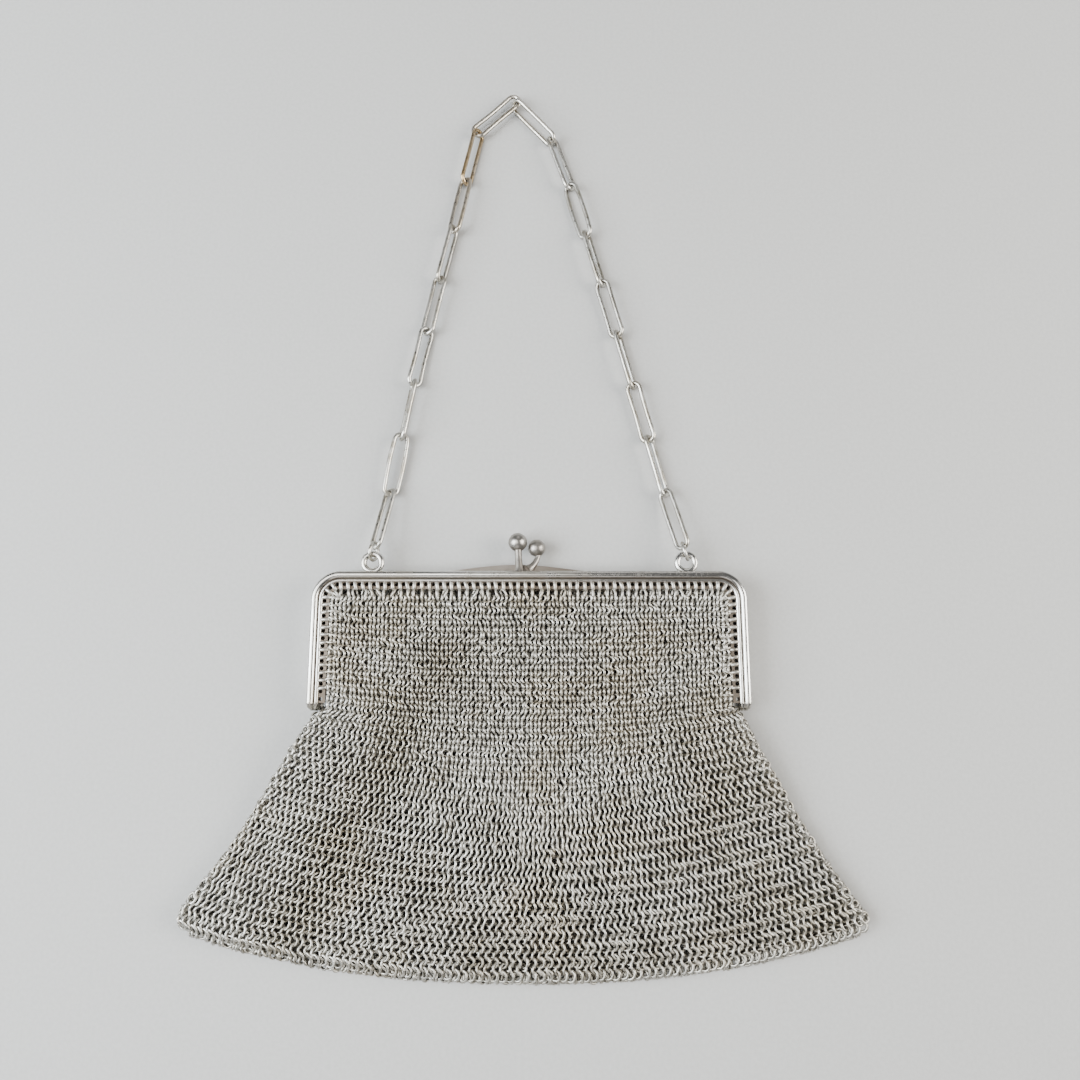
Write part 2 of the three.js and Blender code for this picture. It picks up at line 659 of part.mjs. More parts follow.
function ringGeometry() {
  const loop = Array.from({ length: FACETS.ring }, (_, k) => {
    const angle = (k / FACETS.ring) * 2 * Math.PI;
    const outX = Math.cos(angle);
    const outY = Math.sin(angle);
    return { x: RING_RADIUS * outX, y: RING_RADIUS * outY, outX, outY };
  });
  return wireLoop(loop, RING_WIRE, FACETS.wire);
}

// How high the middle of a link lies when it leans over on the surface
function leanHeight(lean) {
  const half = (LINK_WIDTH - LINK_WIRE) / 2;
  return half * Math.abs(Math.sin(THREE.MathUtils.degToRad(lean))) + LINK_WIRE / 2 + FLOOR_GAP;
}

// The direction across a link that runs along and leans over by so many degrees
function leaning(along, degrees) {
  return new THREE.Vector3().crossVectors(along, new THREE.Vector3(0, 0, 1)).normalize()
    .applyAxisAngle(along, THREE.MathUtils.degToRad(degrees));
}

// How far the end of one link lies beyond the start of the next. The link that lies flatter
// in the plane of the turn is the eye and the other one's wire is the pin, which stays near
// the middle of the eye's round end however far the chain turns there.
function hookOffset(before, after, leanBefore, leanAfter) {
  const eye = (LINK_WIDTH - LINK_WIRE) / 2;
  const slack = eye - LINK_WIRE - CHAIN_CLEARANCE;
  const turn = new THREE.Vector3().crossVectors(before, after).normalize();
  const pin = (along, lean) => (
    1.001 - new THREE.Vector3().crossVectors(along, leaning(along, lean)).dot(turn) ** 2);
  const pinBefore = pin(before, leanBefore);
  const pinAfter = pin(after, leanAfter);
  return before.clone().multiplyScalar(eye * pinAfter - slack * pinBefore)
    .addScaledVector(after, eye * pinBefore - slack * pinAfter)
    .divideScalar(pinBefore + pinAfter);
}

// The point on the eyelet's wire that a jump ring hangs from, and the ring's pull
function hanger(side, towards) {
  const wireTop = eyeletCentre(side);
  wireTop.y += (EYELET_HOLE + EYELET_WIRE) / 2;
  const pull = towards.clone().sub(wireTop).normalize();
  const wireGap = EYELET_WIRE / 2 + CHAIN_CLEARANCE + LINK_WIRE / 2;
  return {
    pull,
    ringCentre: wireTop.clone().addScaledVector(pull, (LINK_WIRE + CHAIN_CLEARANCE) / 2),
    linkEnd: wireTop.clone().addScaledVector(pull, wireGap),
  };
}

// The links' end points, after the chosen route is drawn together or apart until every
// link has its own length
function settleChain() {
  const first = hanger(-1, routePoint(0));
  const last = hanger(1, routePoint(CHAIN_ROUTE.length - 1));
  const joints = [first.linkEnd, ...CHAIN_ROUTE.map((_, k) => routePoint(k)), last.linkEnd];
  const direction = (k) => joints[k + 1].clone().sub(joints[k]).normalize();
  const ends = (k) => {
    const start = joints[k].clone();
    const end = joints[k + 1].clone();
    if (k > 0) {
      const offset = hookOffset(direction(k - 1), direction(k), LEANS[k - 1], LEANS[k]);
      start.addScaledVector(offset, -0.5);
    }
    if (k < LEANS.length - 1) {
      const offset = hookOffset(direction(k), direction(k + 1), LEANS[k], LEANS[k + 1]);
      end.addScaledVector(offset, 0.5);
    }
    return { start, end };
  };
  for (let pass = 0; pass < SETTLE_PASSES; pass += 1) {
    for (let k = 0; k < LEANS.length; k += 1) {
      const { start, end } = ends(k);
      const along = end.clone().sub(start);
      const excess = (along.length() - LINK_SPAN) / 2;
      along.normalize().setZ(0);
      if (k > 0) joints[k].addScaledVector(along, excess);
      if (k < LEANS.length - 1) joints[k + 1].addScaledVector(along, -excess);
    }
  }
  return { first, last, links: LEANS.map((_, k) => ends(k)) };
}

// A joint of the route, as high as the taller of its two links leans
function routePoint(k) {
  const height = Math.max(leanHeight(LEANS[k]), leanHeight(LEANS[k + 1]));
  return new THREE.Vector3(CHAIN_ROUTE[k].x, CHAIN_ROUTE[k].y, height);
}

// Turns and places a mesh so that its Y axis follows along and its X axis follows across
function place(mesh, centre, along, across) {
  const normal = new THREE.Vector3().crossVectors(across, along).normalize();
  const side = new THREE.Vector3().crossVectors(along, normal).normalize();
  mesh.quaternion.setFromRotationMatrix(new THREE.Matrix4().makeBasis(side, along, normal));
  mesh.position.copy(centre);
  return mesh;
}

function named(name, geometry, material) {
  const mesh = new THREE.Mesh(geometry, material);
  mesh.name = name;
  return mesh;
}

function chain() {
  const group = new THREE.Group();
  const { first, last, links } = settleChain();
  const leftRing = named('jump_ring_left', ringGeometry(), CHAIN_SILVER);
  group.add(place(leftRing, first.ringCentre, first.pull, leaning(first.pull, RING_LEAN)));
  const rightRing = named('jump_ring_right', ringGeometry(), CHAIN_SILVER);
  group.add(place(rightRing, last.ringCentre, last.pull, leaning(last.pull, RING_LEAN)));
  links.forEach(({ start, end }, k) => {
    const along = end.clone().sub(start).normalize();
    const across = leaning(along, LEANS[k]);
    const link = named(`link_${String(k + 1).padStart(2, '0')}`, linkGeometry(), CHAIN_SILVER);
    group.add(place(link, start.clone().lerp(end, 0.5), along, across));
  });
  return group;
}

function bag() {
  return toGeometry(toSolid(bagOutside()).subtract(toSolid(bagInside())));
}

const purse = new THREE.Group();
purse.add(named('frame_front', toGeometry(frameFront()), SILVER));
purse.add(named('frame_back', toGeometry(frameBack()), SILVER));
purse.add(named('rivet_left', toGeometry(rivet(-1)), SILVER));
purse.add(named('rivet_right', toGeometry(rivet(1)), SILVER));
purse.add(named('mesh_bag', bag(), MESH_SILVER));
purse.add(chain());

export default purse;
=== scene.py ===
# %% [markdown]
# # A metal mesh purse
#
# This script dresses the CAD frame of a small evening purse: a hinged U-shaped frame with a
# ball kiss lock, a bag of linked metal rings and a chain of long links. It lies closed on
# its back. Every size below is in millimetres, and is turned into metres only when a mesh
# is made. +X runs along the frame, +Y from the bag to the chain, and +Z is up.

import bmesh
import bpy
import numpy as np
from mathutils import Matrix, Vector


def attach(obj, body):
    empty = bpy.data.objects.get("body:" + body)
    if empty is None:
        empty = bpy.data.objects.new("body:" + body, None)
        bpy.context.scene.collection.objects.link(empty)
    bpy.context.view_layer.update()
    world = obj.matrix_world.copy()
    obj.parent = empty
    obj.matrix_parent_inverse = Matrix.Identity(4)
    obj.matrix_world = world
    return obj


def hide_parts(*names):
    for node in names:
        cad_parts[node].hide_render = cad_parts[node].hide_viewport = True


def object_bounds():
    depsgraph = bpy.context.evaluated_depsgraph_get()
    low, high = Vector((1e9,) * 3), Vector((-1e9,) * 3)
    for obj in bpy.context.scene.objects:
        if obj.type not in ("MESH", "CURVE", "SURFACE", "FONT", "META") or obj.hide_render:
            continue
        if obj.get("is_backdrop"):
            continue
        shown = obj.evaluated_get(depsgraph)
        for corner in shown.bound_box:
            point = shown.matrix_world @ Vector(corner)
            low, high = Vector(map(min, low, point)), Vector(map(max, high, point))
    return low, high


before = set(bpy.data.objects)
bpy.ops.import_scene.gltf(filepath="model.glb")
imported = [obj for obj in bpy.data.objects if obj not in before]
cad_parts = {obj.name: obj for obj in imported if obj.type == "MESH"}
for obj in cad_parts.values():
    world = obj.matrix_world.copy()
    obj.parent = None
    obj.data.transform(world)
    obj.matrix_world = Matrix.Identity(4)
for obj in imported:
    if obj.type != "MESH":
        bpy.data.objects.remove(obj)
box_at_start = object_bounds()
print("CAD nodes:", len(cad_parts))

# %% [markdown]
# ## Sizes
# The numbers repeat the sizes that the CAD model was made from, so that the finer forms
# made here lie exactly where the plain solids lie. Rings, wires and ridges that the CAD
# model is too plain to hold have their own sizes at the end.

# %% Sizes
MM = 0.001
FRAME_WIDTH = 130.0
FRAME_TOP = 24.0
CORNER_RADIUS = 8.5
HALF_DEPTH = 4.6
PARTING_GAP = 0.15
RAIL_WIDTH = 2.2
BAND_WIDTH = 1.2
BAND_OUT = 3.9
GROOVE_DEPTH = 0.35
RAIL_AND_BAND = RAIL_WIDTH + BAND_WIDTH
TURN_X, TURN_Y = FRAME_WIDTH / 2 - CORNER_RADIUS, FRAME_TOP - CORNER_RADIUS
FLANGE_EDGE = 5.4
FLANGE_THICKNESS = 0.8
FLANGE_OUT = 3.4
FLANGE_MIDDLE = FLANGE_OUT - FLANGE_THICKNESS / 2
HOLE_DIAMETER = 1.2
HOLE_INSET = 4.0
HOLE_PITCH = 2.2
LEG_END = -14.9
BACK_LEG_END = -12.6
BOW_HEIGHT, BOW_CENTRE, BOW_REACH = 2.4, -4.0, 30.0
EYELET_X = 47.3
EYELET_Y = 26.7
EYELET_HOLE = 3.5
EYELET_WIRE = 1.85
LINK_WIRE = 1.38
LINK_WIDTH = 5.55
RING_WIRE = 1.0
SHEET = 1.8
BAG_HEIGHT = 109.8
BAG_WIDTH = 199.0
BAG_THICKNESS = 4.9
BAG_TOP = 18.3
BAG_NECK = 59.3
BAG_CORNER = 2.8
BACK_LIFT = 0.42
HELD_SHARE, HELD_SIDE = 0.350, 0.312
HELD_DROP = 34.7
SAG_REACH = 40.0
BOW_POWER = 2.3
FAN_POWER, FAN_REACH = 2.8, 0.48
MESH_RING = 1.46
MESH_WIRE = 0.80
MESH_ROWS = 59
MESH_COLUMNS = 94

# Shares of the bag's height at its middle and side, and of the flare at its left and right
BAG_ROWS = np.array([
    (0.000, 0.000, 0.000, 0.000), (0.008, 0.008, 0.000, 0.000), (0.024, 0.023, 0.000, 0.000),
    (0.120, 0.104, 0.000, 0.000), (0.225, 0.200, 0.000, 0.000), (0.350, 0.312, 0.000, 0.000),
    (0.380, 0.334, 0.090, 0.075), (0.480, 0.416, 0.240, 0.185), (0.600, 0.506, 0.385, 0.320),
    (0.715, 0.603, 0.535, 0.465), (0.810, 0.689, 0.690, 0.610), (0.890, 0.767, 0.850, 0.755),
    (0.945, 0.822, 0.980, 0.870), (0.980, 0.852, 1.005, 0.920), (1.000, 0.884, 0.930, 0.880),
])
# Folds: top x, top y, bottom x, bottom y, lift in sheets, width in sag reaches
FOLDS = np.array([
    (-0.28, 0.33, -0.72, 0.95, -0.42, 0.17), (-0.40, 0.36, -0.86, 0.88, 0.36, 0.20),
    (0.46, 0.30, 0.78, 0.92, -0.34, 0.18), (0.56, 0.42, 0.90, 0.86, 0.26, 0.16),
    (0.02, 0.40, -0.08, 0.90, 0.22, 0.40),
])
print("the bag's share below the frame's legs:", 1 - HELD_SHARE)

# %% [markdown]
# ## Mesh helpers
# A regular surface is a block of points with rows and columns. Its faces join neighbours in
# the block, so whole arrays of indices can be written at once, for one tube or for a
# thousand rings side by side, with no loop over the points.


# %% Mesh helpers
def block_faces(rows, columns, wrap_rows, wrap_columns):
    """Quads of a block of points: each joins point (r, c) to (r+1, c), (r+1, c+1), (r, c+1).

    A wrapped direction joins its last points to its first ones."""
    r, c = np.meshgrid(
        np.arange(rows if wrap_rows else rows - 1),
        np.arange(columns if wrap_columns else columns - 1), indexing="ij")
    r_next, c_next = (r + 1) % rows, (c + 1) % columns
    corners = [r * columns + c, r_next * columns + c, r_next * columns + c_next,
               r * columns + c_next]
    return np.stack(corners, -1).reshape(-1, 4)


def add_object(name, data):
    """A new object in the scene that shows the given data."""
    made = bpy.data.objects.new(name, data)
    bpy.context.scene.collection.objects.link(made)
    return made


def make_object(name, points, faces, values=None):
    """A smooth-shaded object from points in millimetres and quads, with named point values."""
    points = np.asarray(points, float).reshape(-1, 3)
    mesh = bpy.data.meshes.new(name)
    mesh.vertices.add(len(points))
    mesh.vertices.foreach_set("co", (points * MM).ravel())
    mesh.loops.add(faces.size)
    mesh.loops.foreach_set("vertex_index", faces.ravel().astype(np.int32))
    mesh.polygons.add(len(faces))
    mesh.polygons.foreach_set("loop_start", np.arange(0, faces.size, 4, dtype=np.int32))
    mesh.polygons.foreach_set("use_smooth", np.ones(len(faces), bool))
    for key, value in (values or {}).items():
        layer = mesh.attributes.new(key, "FLOAT", "POINT")
        layer.data.foreach_set("value", np.asarray(value, np.float32).ravel())
    mesh.update(calc_edges=True)
    mesh.validate()
    return add_object(name, mesh)


def unit(vectors):
    """Each vector divided by its own length."""
    return vectors / np.linalg.norm(vectors, axis=-1, keepdims=True)


def closed_tubes(centres, outward, upward, radius, sides):
    """Points and quads of closed wire loops, all with the same number of steps.

    Each centre point c of a loop has a circle of points c + radius (cos a outward +
    sin a upward), for angles a all the way round."""
    loops, steps = centres.shape[:2]
    a = np.arange(sides) * 2 * np.pi / sides
    circle = (np.cos(a)[:, None] * outward[:, :, None, :] + np.sin(a)[:, None] * upward[:, :, None, :])
    points = centres[:, :, None, :] + np.asarray(radius).reshape(-1, 1, 1, 1) * circle
    faces = block_faces(steps, sides, True, True)
    faces = faces[None] + (np.arange(loops) * steps * sides)[:, None, None]
    return points.reshape(-1, 3), faces.reshape(-1, 4)


def bent_wires(loop, outward, wire, sides):
    """Closed wires along loops of points, with each section square to the wire's own way."""
    outward = unit(outward)
    tangent = unit(np.roll(loop, -1, 1) - np.roll(loop, 1, 1))
    upward = np.cross(outward, tangent)
    return closed_tubes(loop, outward, upward, np.full(len(loop), wire / 2), sides)


def join(parts):
    """One list of points and one of quads out of several (points, quads) pairs."""
    points, faces, start = [], [], 0
    for part_points, part_faces in parts:
        part_points = np.asarray(part_points).reshape(-1, 3)
        points.append(part_points)
        faces.append(part_faces + start)
        start += len(part_points)
    return np.concatenate(points), np.concatenate(faces)


# %% [markdown]
# ## The bag's form
# The bag is a flat sack of ring mesh. Its rows hang in gentle bows between the side folds,
# and it flares out below the frame's legs. The front lies high where the flange holds it
# and sags to the lower level a few centimetres away, with shallow slanting folds.


# %% The bag's form
def drop_at(share):
    """Distance down the bag of a share of its height, in two straight stretches."""
    held = HELD_DROP * share / HELD_SIDE
    free = HELD_DROP + (BAG_HEIGHT - HELD_DROP) * (share - HELD_SIDE) / (1 - HELD_SIDE)
    return np.where(share < HELD_SIDE, held, free)


def bag_edges(middle):
    """Middle height, side height, left x and right x of the row at a share of the height."""
    side, left, right = (np.interp(middle, BAG_ROWS[:, 0], BAG_ROWS[:, k]) for k in (1, 2, 3))
    flare = BAG_WIDTH / 2 - BAG_NECK
    drop = drop_at(side)
    rounded = BAG_CORNER - np.sqrt(BAG_CORNER**2 - np.maximum(BAG_CORNER - drop, 0) ** 2)
    return (BAG_TOP - drop_at(middle), BAG_TOP - drop,
            -BAG_NECK + rounded - left * flare, BAG_NECK - rounded + right * flare)


def smooth_step(share):
    """3 t squared minus 2 t cubed, for t from 0 to 1."""
    t = np.clip(share, 0, 1)
    return t * t * (3 - 2 * t)


def fold_lift(x, y):
    """Sum of the folds: each is lift times a bell curve of the distance from its line."""
    total = np.zeros(np.broadcast(x, y).shape)
    for top_x, top_y, bottom_x, bottom_y, lift, width in FOLDS:
        start = np.array([top_x * BAG_WIDTH / 2, BAG_TOP - top_y * BAG_HEIGHT])
        run = np.array([bottom_x * BAG_WIDTH / 2, BAG_TOP - bottom_y * BAG_HEIGHT]) - start
        along = ((x - start[0]) * run[0] + (y - start[1]) * run[1]) / (run @ run)
        across = ((x - start[0]) * run[1] - (y - start[1]) * run[0]) / np.hypot(*run)
        ends = smooth_step(along * 4 + 0.5) * smooth_step((1 - along) * 4 + 0.5)
        total += lift * SHEET * np.exp(-((across / (width * SAG_REACH)) ** 2)) * ends
    return total


def bag_top(x, y):
    """Height of the front sheet's upper side: held level, plus its sag, plus the folds."""
    foot = BAG_TOP - HELD_DROP
    below = np.maximum(foot - y, 0)
    to_leg = np.hypot(BAG_NECK - np.minimum(np.abs(x), BAG_NECK), below)
    sag = smooth_step(np.minimum(np.maximum(BAG_TOP - y, 0), to_leg) / SAG_REACH)
    held = HALF_DEPTH + FLANGE_OUT - FLANGE_THICKNESS / 2 + SHEET / 2
    return held + (BAG_THICKNESS - held) * sag + fold_lift(x, y) * sag


def sheet_point(share, middle, front):
    """A point in the middle of a sheet, at a share of the way across and of the height.

    x is even steps across the neck, plus the flare times the way out to a power. The power
    is high below the legs, so only the outer columns fan out there, and it is 1 lower down."""
    middle_y, side_y, left, right = bag_edges(middle)
    out = 2 * share - 1
    power = 1 + FAN_POWER * (1 - smooth_step((middle - HELD_SHARE) / FAN_REACH))
    x = out * BAG_NECK + np.abs(out) ** power * np.where(out < 0, left + BAG_NECK, right - BAG_NECK)
    y = middle_y + (side_y - middle_y) * np.abs(out) ** BOW_POWER
    z = bag_top(x, y) - SHEET / 2 if front else np.full(x.shape, SHEET / 2 + BACK_LIFT)
    return np.stack([x, y, z], -1)


corner = sheet_point(np.array([0.0]), np.array([0.98]), True)[0]
print("lower left corner of the bag:", corner.round(1))

# %% [markdown]
# ## Linked rings
# In real mesh each ring holds two rings of the row above and two of the row below. Here the
# rings are only placed by row and column, and nearly all pass through their neighbours, which
# shows close up. The rows lean to the left and right in turns, so the visible halves of the
# rings make upright zigzag lines. Where the mesh is drawn together its rings turn nearly on
# edge, and where it spreads they lie flatter and dark gaps open. The rings that the frame
# holds are shortened along the column, so their rows show as short dashes.


# %% Linked rings
rng = np.random.default_rng(7)


def make_waves(length, count=9):
    """Random directions, wave lengths near the given one, and phases, for drift to add up."""
    return (rng.uniform(0, 2 * np.pi, count), length * rng.uniform(0.6, 1.5, count),
            rng.uniform(0, 2 * np.pi, count))


def drift(points, waves):
    """A slow random change over the sheet: the sum of sine waves that run different ways."""
    way, length, phase = waves
    run = points[:, :1] * np.cos(way) + points[:, 1:2] * np.sin(way)
    return np.sin(run * 2 * np.pi / length + phase).sum(1) / np.sqrt(len(way) / 2)


LEAN_WAVES, ROLL_WAVES, TONE_WAVES = make_waves(10.0), make_waves(13.0), make_waves(24.0)
# Where the frame's hold on the rings starts to fade, over what share, and how it shortens them
HOLD_START, HOLD_FADE, HOLD_SHORTER = 0.32, 0.50, 0.40
# How strongly columns crowd to the lower left, from what share of the height, over what share
CROWDING, CROWD_START, CROWD_FADE = 0.25, 0.4, 0.4
# A ring's flatness is a share of the column's pitch less a start, and less again where held
FLAT_PER_PITCH, FLAT_START, FLAT_HELD, FLAT_LIMITS = 0.56, 0.33, 0.10, (0.16, 0.92)
# How far a ring may rise from its sheet, and the random shifts of its middle
FRONT_RISE, BACK_RISE, JITTER = 0.86, 0.70, (0.10, 0.10, 0.08)
# Where the painted light on the lower left starts, and over what distance
LEFT_START, LEFT_FADE = -25.0, 40.0


def ring_mesh(name, front, steps, sides, first_row, last_row):
    """Rings of some rows of one sheet.

    A ring's points are centre + R cos t (cos f U + s sin f N) + S sin t V, with U along the
    row, V along the column, N out of the sheet, f the lean, and s its side, in turns. S is
    R, or less where the frame holds the mesh. The columns crowd together towards the lower
    left corner: share - crowd share (1 - share)^4."""
    row, column = np.meshgrid(np.arange(first_row, last_row), np.arange(MESH_COLUMNS),
                              indexing="ij")
    row, column = row.ravel(), column.ravel()
    share = (column + 0.25 + 0.5 * (row % 2)) / MESH_COLUMNS
    middle = (row + 1.3) / (MESH_ROWS + 1.1)
    crowd = CROWDING * smooth_step((middle - CROWD_START) / CROWD_FADE)
    closer = 1 - crowd * ((1 - share) ** 4 - 4 * share * (1 - share) ** 3)
    share = share - crowd * share * (1 - share) ** 4
    step = 0.004
    clipped = np.clip(share, step, 1 - step)
    centre = sheet_point(share, middle, front)
    across = (sheet_point(clipped + step, middle, front)
              - sheet_point(clipped - step, middle, front))
    down = np.clip(middle, step, 1 - step)
    along = sheet_point(share, down - step, front) - sheet_point(share, down + step, front)
    pitch = np.linalg.norm(across, axis=1) / (2 * step * MESH_COLUMNS) * closer
    u, v = unit(across), unit(along)
    n = unit(np.cross(u, v)) * (1 if front else -1)
    count = len(row)
    held = 1 - smooth_step((middle - HOLD_START) / HOLD_FADE)
    roll = rng.normal(0, 1, count) * (0.15 + 0.05 * held) + 0.12 * drift(centre, ROLL_WAVES)
    v = unit(v + roll[:, None] * u)
    u = unit(np.cross(v, n)) * (1 if front else -1)
    radius = MESH_RING * rng.normal(1, 0.03, count)
    uneven = rng.normal(0, 0.10, count) + 0.08 * drift(centre, LEAN_WAVES)
    flat = np.clip(FLAT_PER_PITCH * pitch - FLAT_START - FLAT_HELD * held + uneven, *FLAT_LIMITS)
    lean = np.sqrt(1 - flat**2)
    side = np.where(row % 2 == 0, 1, -1)
    rise = np.minimum(radius * lean, FRONT_RISE if front else BACK_RISE) / radius
    # Painted light: the rings' tone is raised on the lower left, as light from the left would brighten
    # them. It is also raised where the frame holds the mesh.
    leftward = smooth_step((LEFT_START - centre[:, 0]) / LEFT_FADE)
    lighter_held_and_lit_left = 0.33 * held + 0.38 * leftward
    tone = rng.normal(0.45, 0.25, count) + 0.2 * drift(centre, TONE_WAVES) + lighter_held_and_lit_left
    tone = np.clip(tone, 0, 1.2)
    centre = centre + rng.normal(0, 1, (count, 3)) * JITTER
    reach = (radius * (1 - HOLD_SHORTER * held))[:, None, None]
    t = np.arange(steps) * 2 * np.pi / steps
    leaning = flat[:, None] * u + (side * rise)[:, None] * n
    outward = (radius[:, None, None] * np.cos(t)[None, :, None] * leaning[:, None]
               + reach * np.sin(t)[None, :, None] * v[:, None])
    points, faces = bent_wires(centre[:, None] + outward, outward, MESH_WIRE, sides)
    # Painted shade: the part of each ring below its crest is darkened, as the rings around it would
    # shade it. It is lighter where the frame holds the mesh, and lighter on the lower left as painted
    # light from the left.
    level = ((points.reshape(count, -1, 3) - centre[:, None]) * n[:, None]).sum(-1)
    held, leftward = held[:, None], leftward[:, None]
    painted_ring_shade = smooth_step((0.38 + 0.32 * held - level) / (1.15 - 0.35 * held))
    painted_ring_shade = (painted_ring_shade * (1 - np.maximum(0.60 * held, 0.34 * leftward))).ravel()
    made = make_object(name, points, faces, {"tone": np.repeat(tone, steps * sides), "painted_ring_shade": painted_ring_shade})
    print(name, count, "rings,", 2 * len(faces), "triangles")
    return made


bag_pieces = []
CUTS = (0, 20, 40, MESH_ROWS)
for sheet, front, steps, sides in (("front", True, 10, 4), ("back", False, 8, 3)):
    for k in range(3):
        bag_pieces.append(
            ring_mesh(f"mesh_{sheet}_{k + 1}", front, steps, sides, CUTS[k], CUTS[k + 1]))

# %% [markdown]
# ## Rings along the edges of the bag
# The two sheets meet at the side folds and at the bottom. The rings there stand on edge
# between the sheets, which gives the bag its beaded outline.


# %% Rings along the edges of the bag
def single_rings(name, centre, first, second, radius, wire, steps, sides, painted_ring_shade):
    """Rings with points centre + R (cos t first + sin t second), one for each row of arrays."""
    t = np.arange(steps) * 2 * np.pi / steps
    outward = (np.cos(t)[None, :, None] * first[:, None]
               + np.sin(t)[None, :, None] * second[:, None])
    loop = centre[:, None] + radius * outward
    points, faces = bent_wires(loop, outward, wire, sides)
    tone = np.repeat(rng.random(len(centre)), steps * sides)
    return make_object(name, points, faces, {"tone": tone, "painted_ring_shade": np.full(len(points), painted_ring_shade)})


UP = np.array([0.0, 0.0, 1.0])


def turned(a, b, angle):
    """The direction a turned towards b: cos(angle) a + sin(angle) b."""
    return np.cos(angle)[:, None] * a + np.sin(angle)[:, None] * b


def edge_rings(name, share, middle, angle_spread):
    """Rings that stand between the two sheets along an edge of the bag."""
    front = sheet_point(share, middle, True)
    back = sheet_point(share, middle, False)
    centre = (front + back) / 2 + rng.normal(0, 0.12, front.shape) * (1, 1, 0.5)
    ahead = np.roll(centre, -1, 0) - np.roll(centre, 1, 0)
    ahead[0], ahead[-1] = ahead[1], ahead[-2]
    ahead = unit(ahead * (1, 1, 0))
    outside = np.cross(ahead, UP)
    count = len(centre)
    lean = rng.normal(0, angle_spread, count) + np.where(np.arange(count) % 2 == 0, 0.5, -0.5)
    # The edge rings get a little painted shade all over.
    return single_rings(name, centre, turned(outside, ahead, rng.normal(0, 0.25, count)),
                        turned(np.tile(UP, (count, 1)), ahead, lean), MESH_RING * 0.92, MESH_WIRE,
                        12, 5, 0.25)


SIDE_RINGS, BOTTOM_RINGS = 62, 170
below = np.linspace(HELD_SHARE + 0.01, 0.985, SIDE_RINGS)
bag_pieces.append(edge_rings("mesh_edge_left", np.full(SIDE_RINGS, 0.004), below, 0.4))
bag_pieces.append(edge_rings("mesh_edge_right", np.full(SIDE_RINGS, 0.996), below, 0.4))
bottom = np.linspace(0.006, 0.994, BOTTOM_RINGS)
bag_pieces.append(edge_rings("mesh_edge_bottom", bottom, np.full(BOTTOM_RINGS, 0.996), 0.6))

# %% [markdown]
# ## The path of the frame
# Both halves follow one U: straight legs, round corners and a straight top. The back half's
# top is bent up a little in the middle, as the wear of an old purse shows.


# %% The path of the frame
LEG_STEPS, CORNER_POINTS, TOP_POINTS = 12, 17, 61


def bow(x):
    """A hump of the top rail: height times cosine squared over its reach."""
    share = np.clip((x - BOW_CENTRE) / BOW_REACH, -1, 1)
    return BOW_HEIGHT * np.cos(share * np.pi / 2) ** 2


def frame_path(leg_end, bowed):
    """Points along the U's outer edge and the unit directions that point into the U."""
    leg = np.linspace(leg_end, TURN_Y, LEG_STEPS, endpoint=False)
    angle = np.linspace(np.pi, np.pi / 2, CORNER_POINTS)
    x = np.concatenate([np.full(len(leg), -FRAME_WIDTH / 2),
                        -TURN_X + CORNER_RADIUS * np.cos(angle)])
    y = np.concatenate([leg, TURN_Y + CORNER_RADIUS * np.sin(angle)])
    in_x = np.concatenate([np.ones(len(leg)), -np.cos(angle)])
    in_y = np.concatenate([np.zeros(len(leg)), -np.sin(angle)])
    top = np.linspace(-TURN_X, TURN_X, TOP_POINTS)[1:-1]
    x = np.concatenate([x, top, -x[::-1]])
    y = np.concatenate([y, np.full(len(top), FRAME_TOP), y[::-1]])
    in_x = np.concatenate([in_x, np.zeros(len(top)), -in_x[::-1]])
    in_y = np.concatenate([in_y, -np.ones(len(top)), in_y[::-1]])
    if bowed:
        y = y + np.where(y > FRAME_TOP - 0.01, bow(x), 0)
    return np.stack([x, y], -1), np.stack([in_x, in_y], -1)


def ladder_cap(count, start, flip):
    """Quads that close a ring of an even number of points, two rungs at a time."""
    k = np.arange(count // 2 - 1)
    rungs = np.stack([k, k + 1, count - 2 - k, count - 1 - k], -1)
    return (rungs[:, ::-1] if flip else rungs) + start


def loft(block):
    """Points and quads of closed skins through rings of points, with both ends capped.

    The block holds one or more skins: (skins, rings, points of a ring, 3)."""
    if block.ndim == 3:
        block = block[None]
    skins, rings, count = block.shape[:3]
    faces = np.concatenate([
        block_faces(rings, count, False, True), ladder_cap(count, 0, True),
        ladder_cap(count, (rings - 1) * count, False)])
    first = block[0].reshape(-1, 3)
    a, b, c, d = (first[faces[:, k]] for k in range(4))
    volume = (np.cross(a, b) * c).sum() + (np.cross(a, c) * d).sum()
    if volume < 0:
        faces = faces[:, ::-1]
    faces = faces[None] + (np.arange(skins) * rings * count)[:, None, None]
    return block.reshape(-1, 3), faces.reshape(-1, 4)


def rail_section():
    """The rail's outline: distance into the U, and distance out from the parting plane.

    An arc of a circle for the tube, then a raised band whose height is a sine to a power."""
    radius = RAIL_WIDTH / 2
    shoulder = HALF_DEPTH - radius
    angle = np.radians(np.linspace(180, 28, 20))
    tube = np.stack([radius + radius * np.cos(angle), shoulder + radius * np.sin(angle)], -1)
    t = np.linspace(0, 1, 14)
    low = BAND_OUT - GROOVE_DEPTH
    band = np.stack([RAIL_WIDTH + BAND_WIDTH * t,
                     low + GROOVE_DEPTH * np.sin(np.pi * t) ** 0.7], -1)
    ends = np.array([[RAIL_AND_BAND, PARTING_GAP], [0.0, PARTING_GAP]])
    return np.concatenate([tube, band, ends])


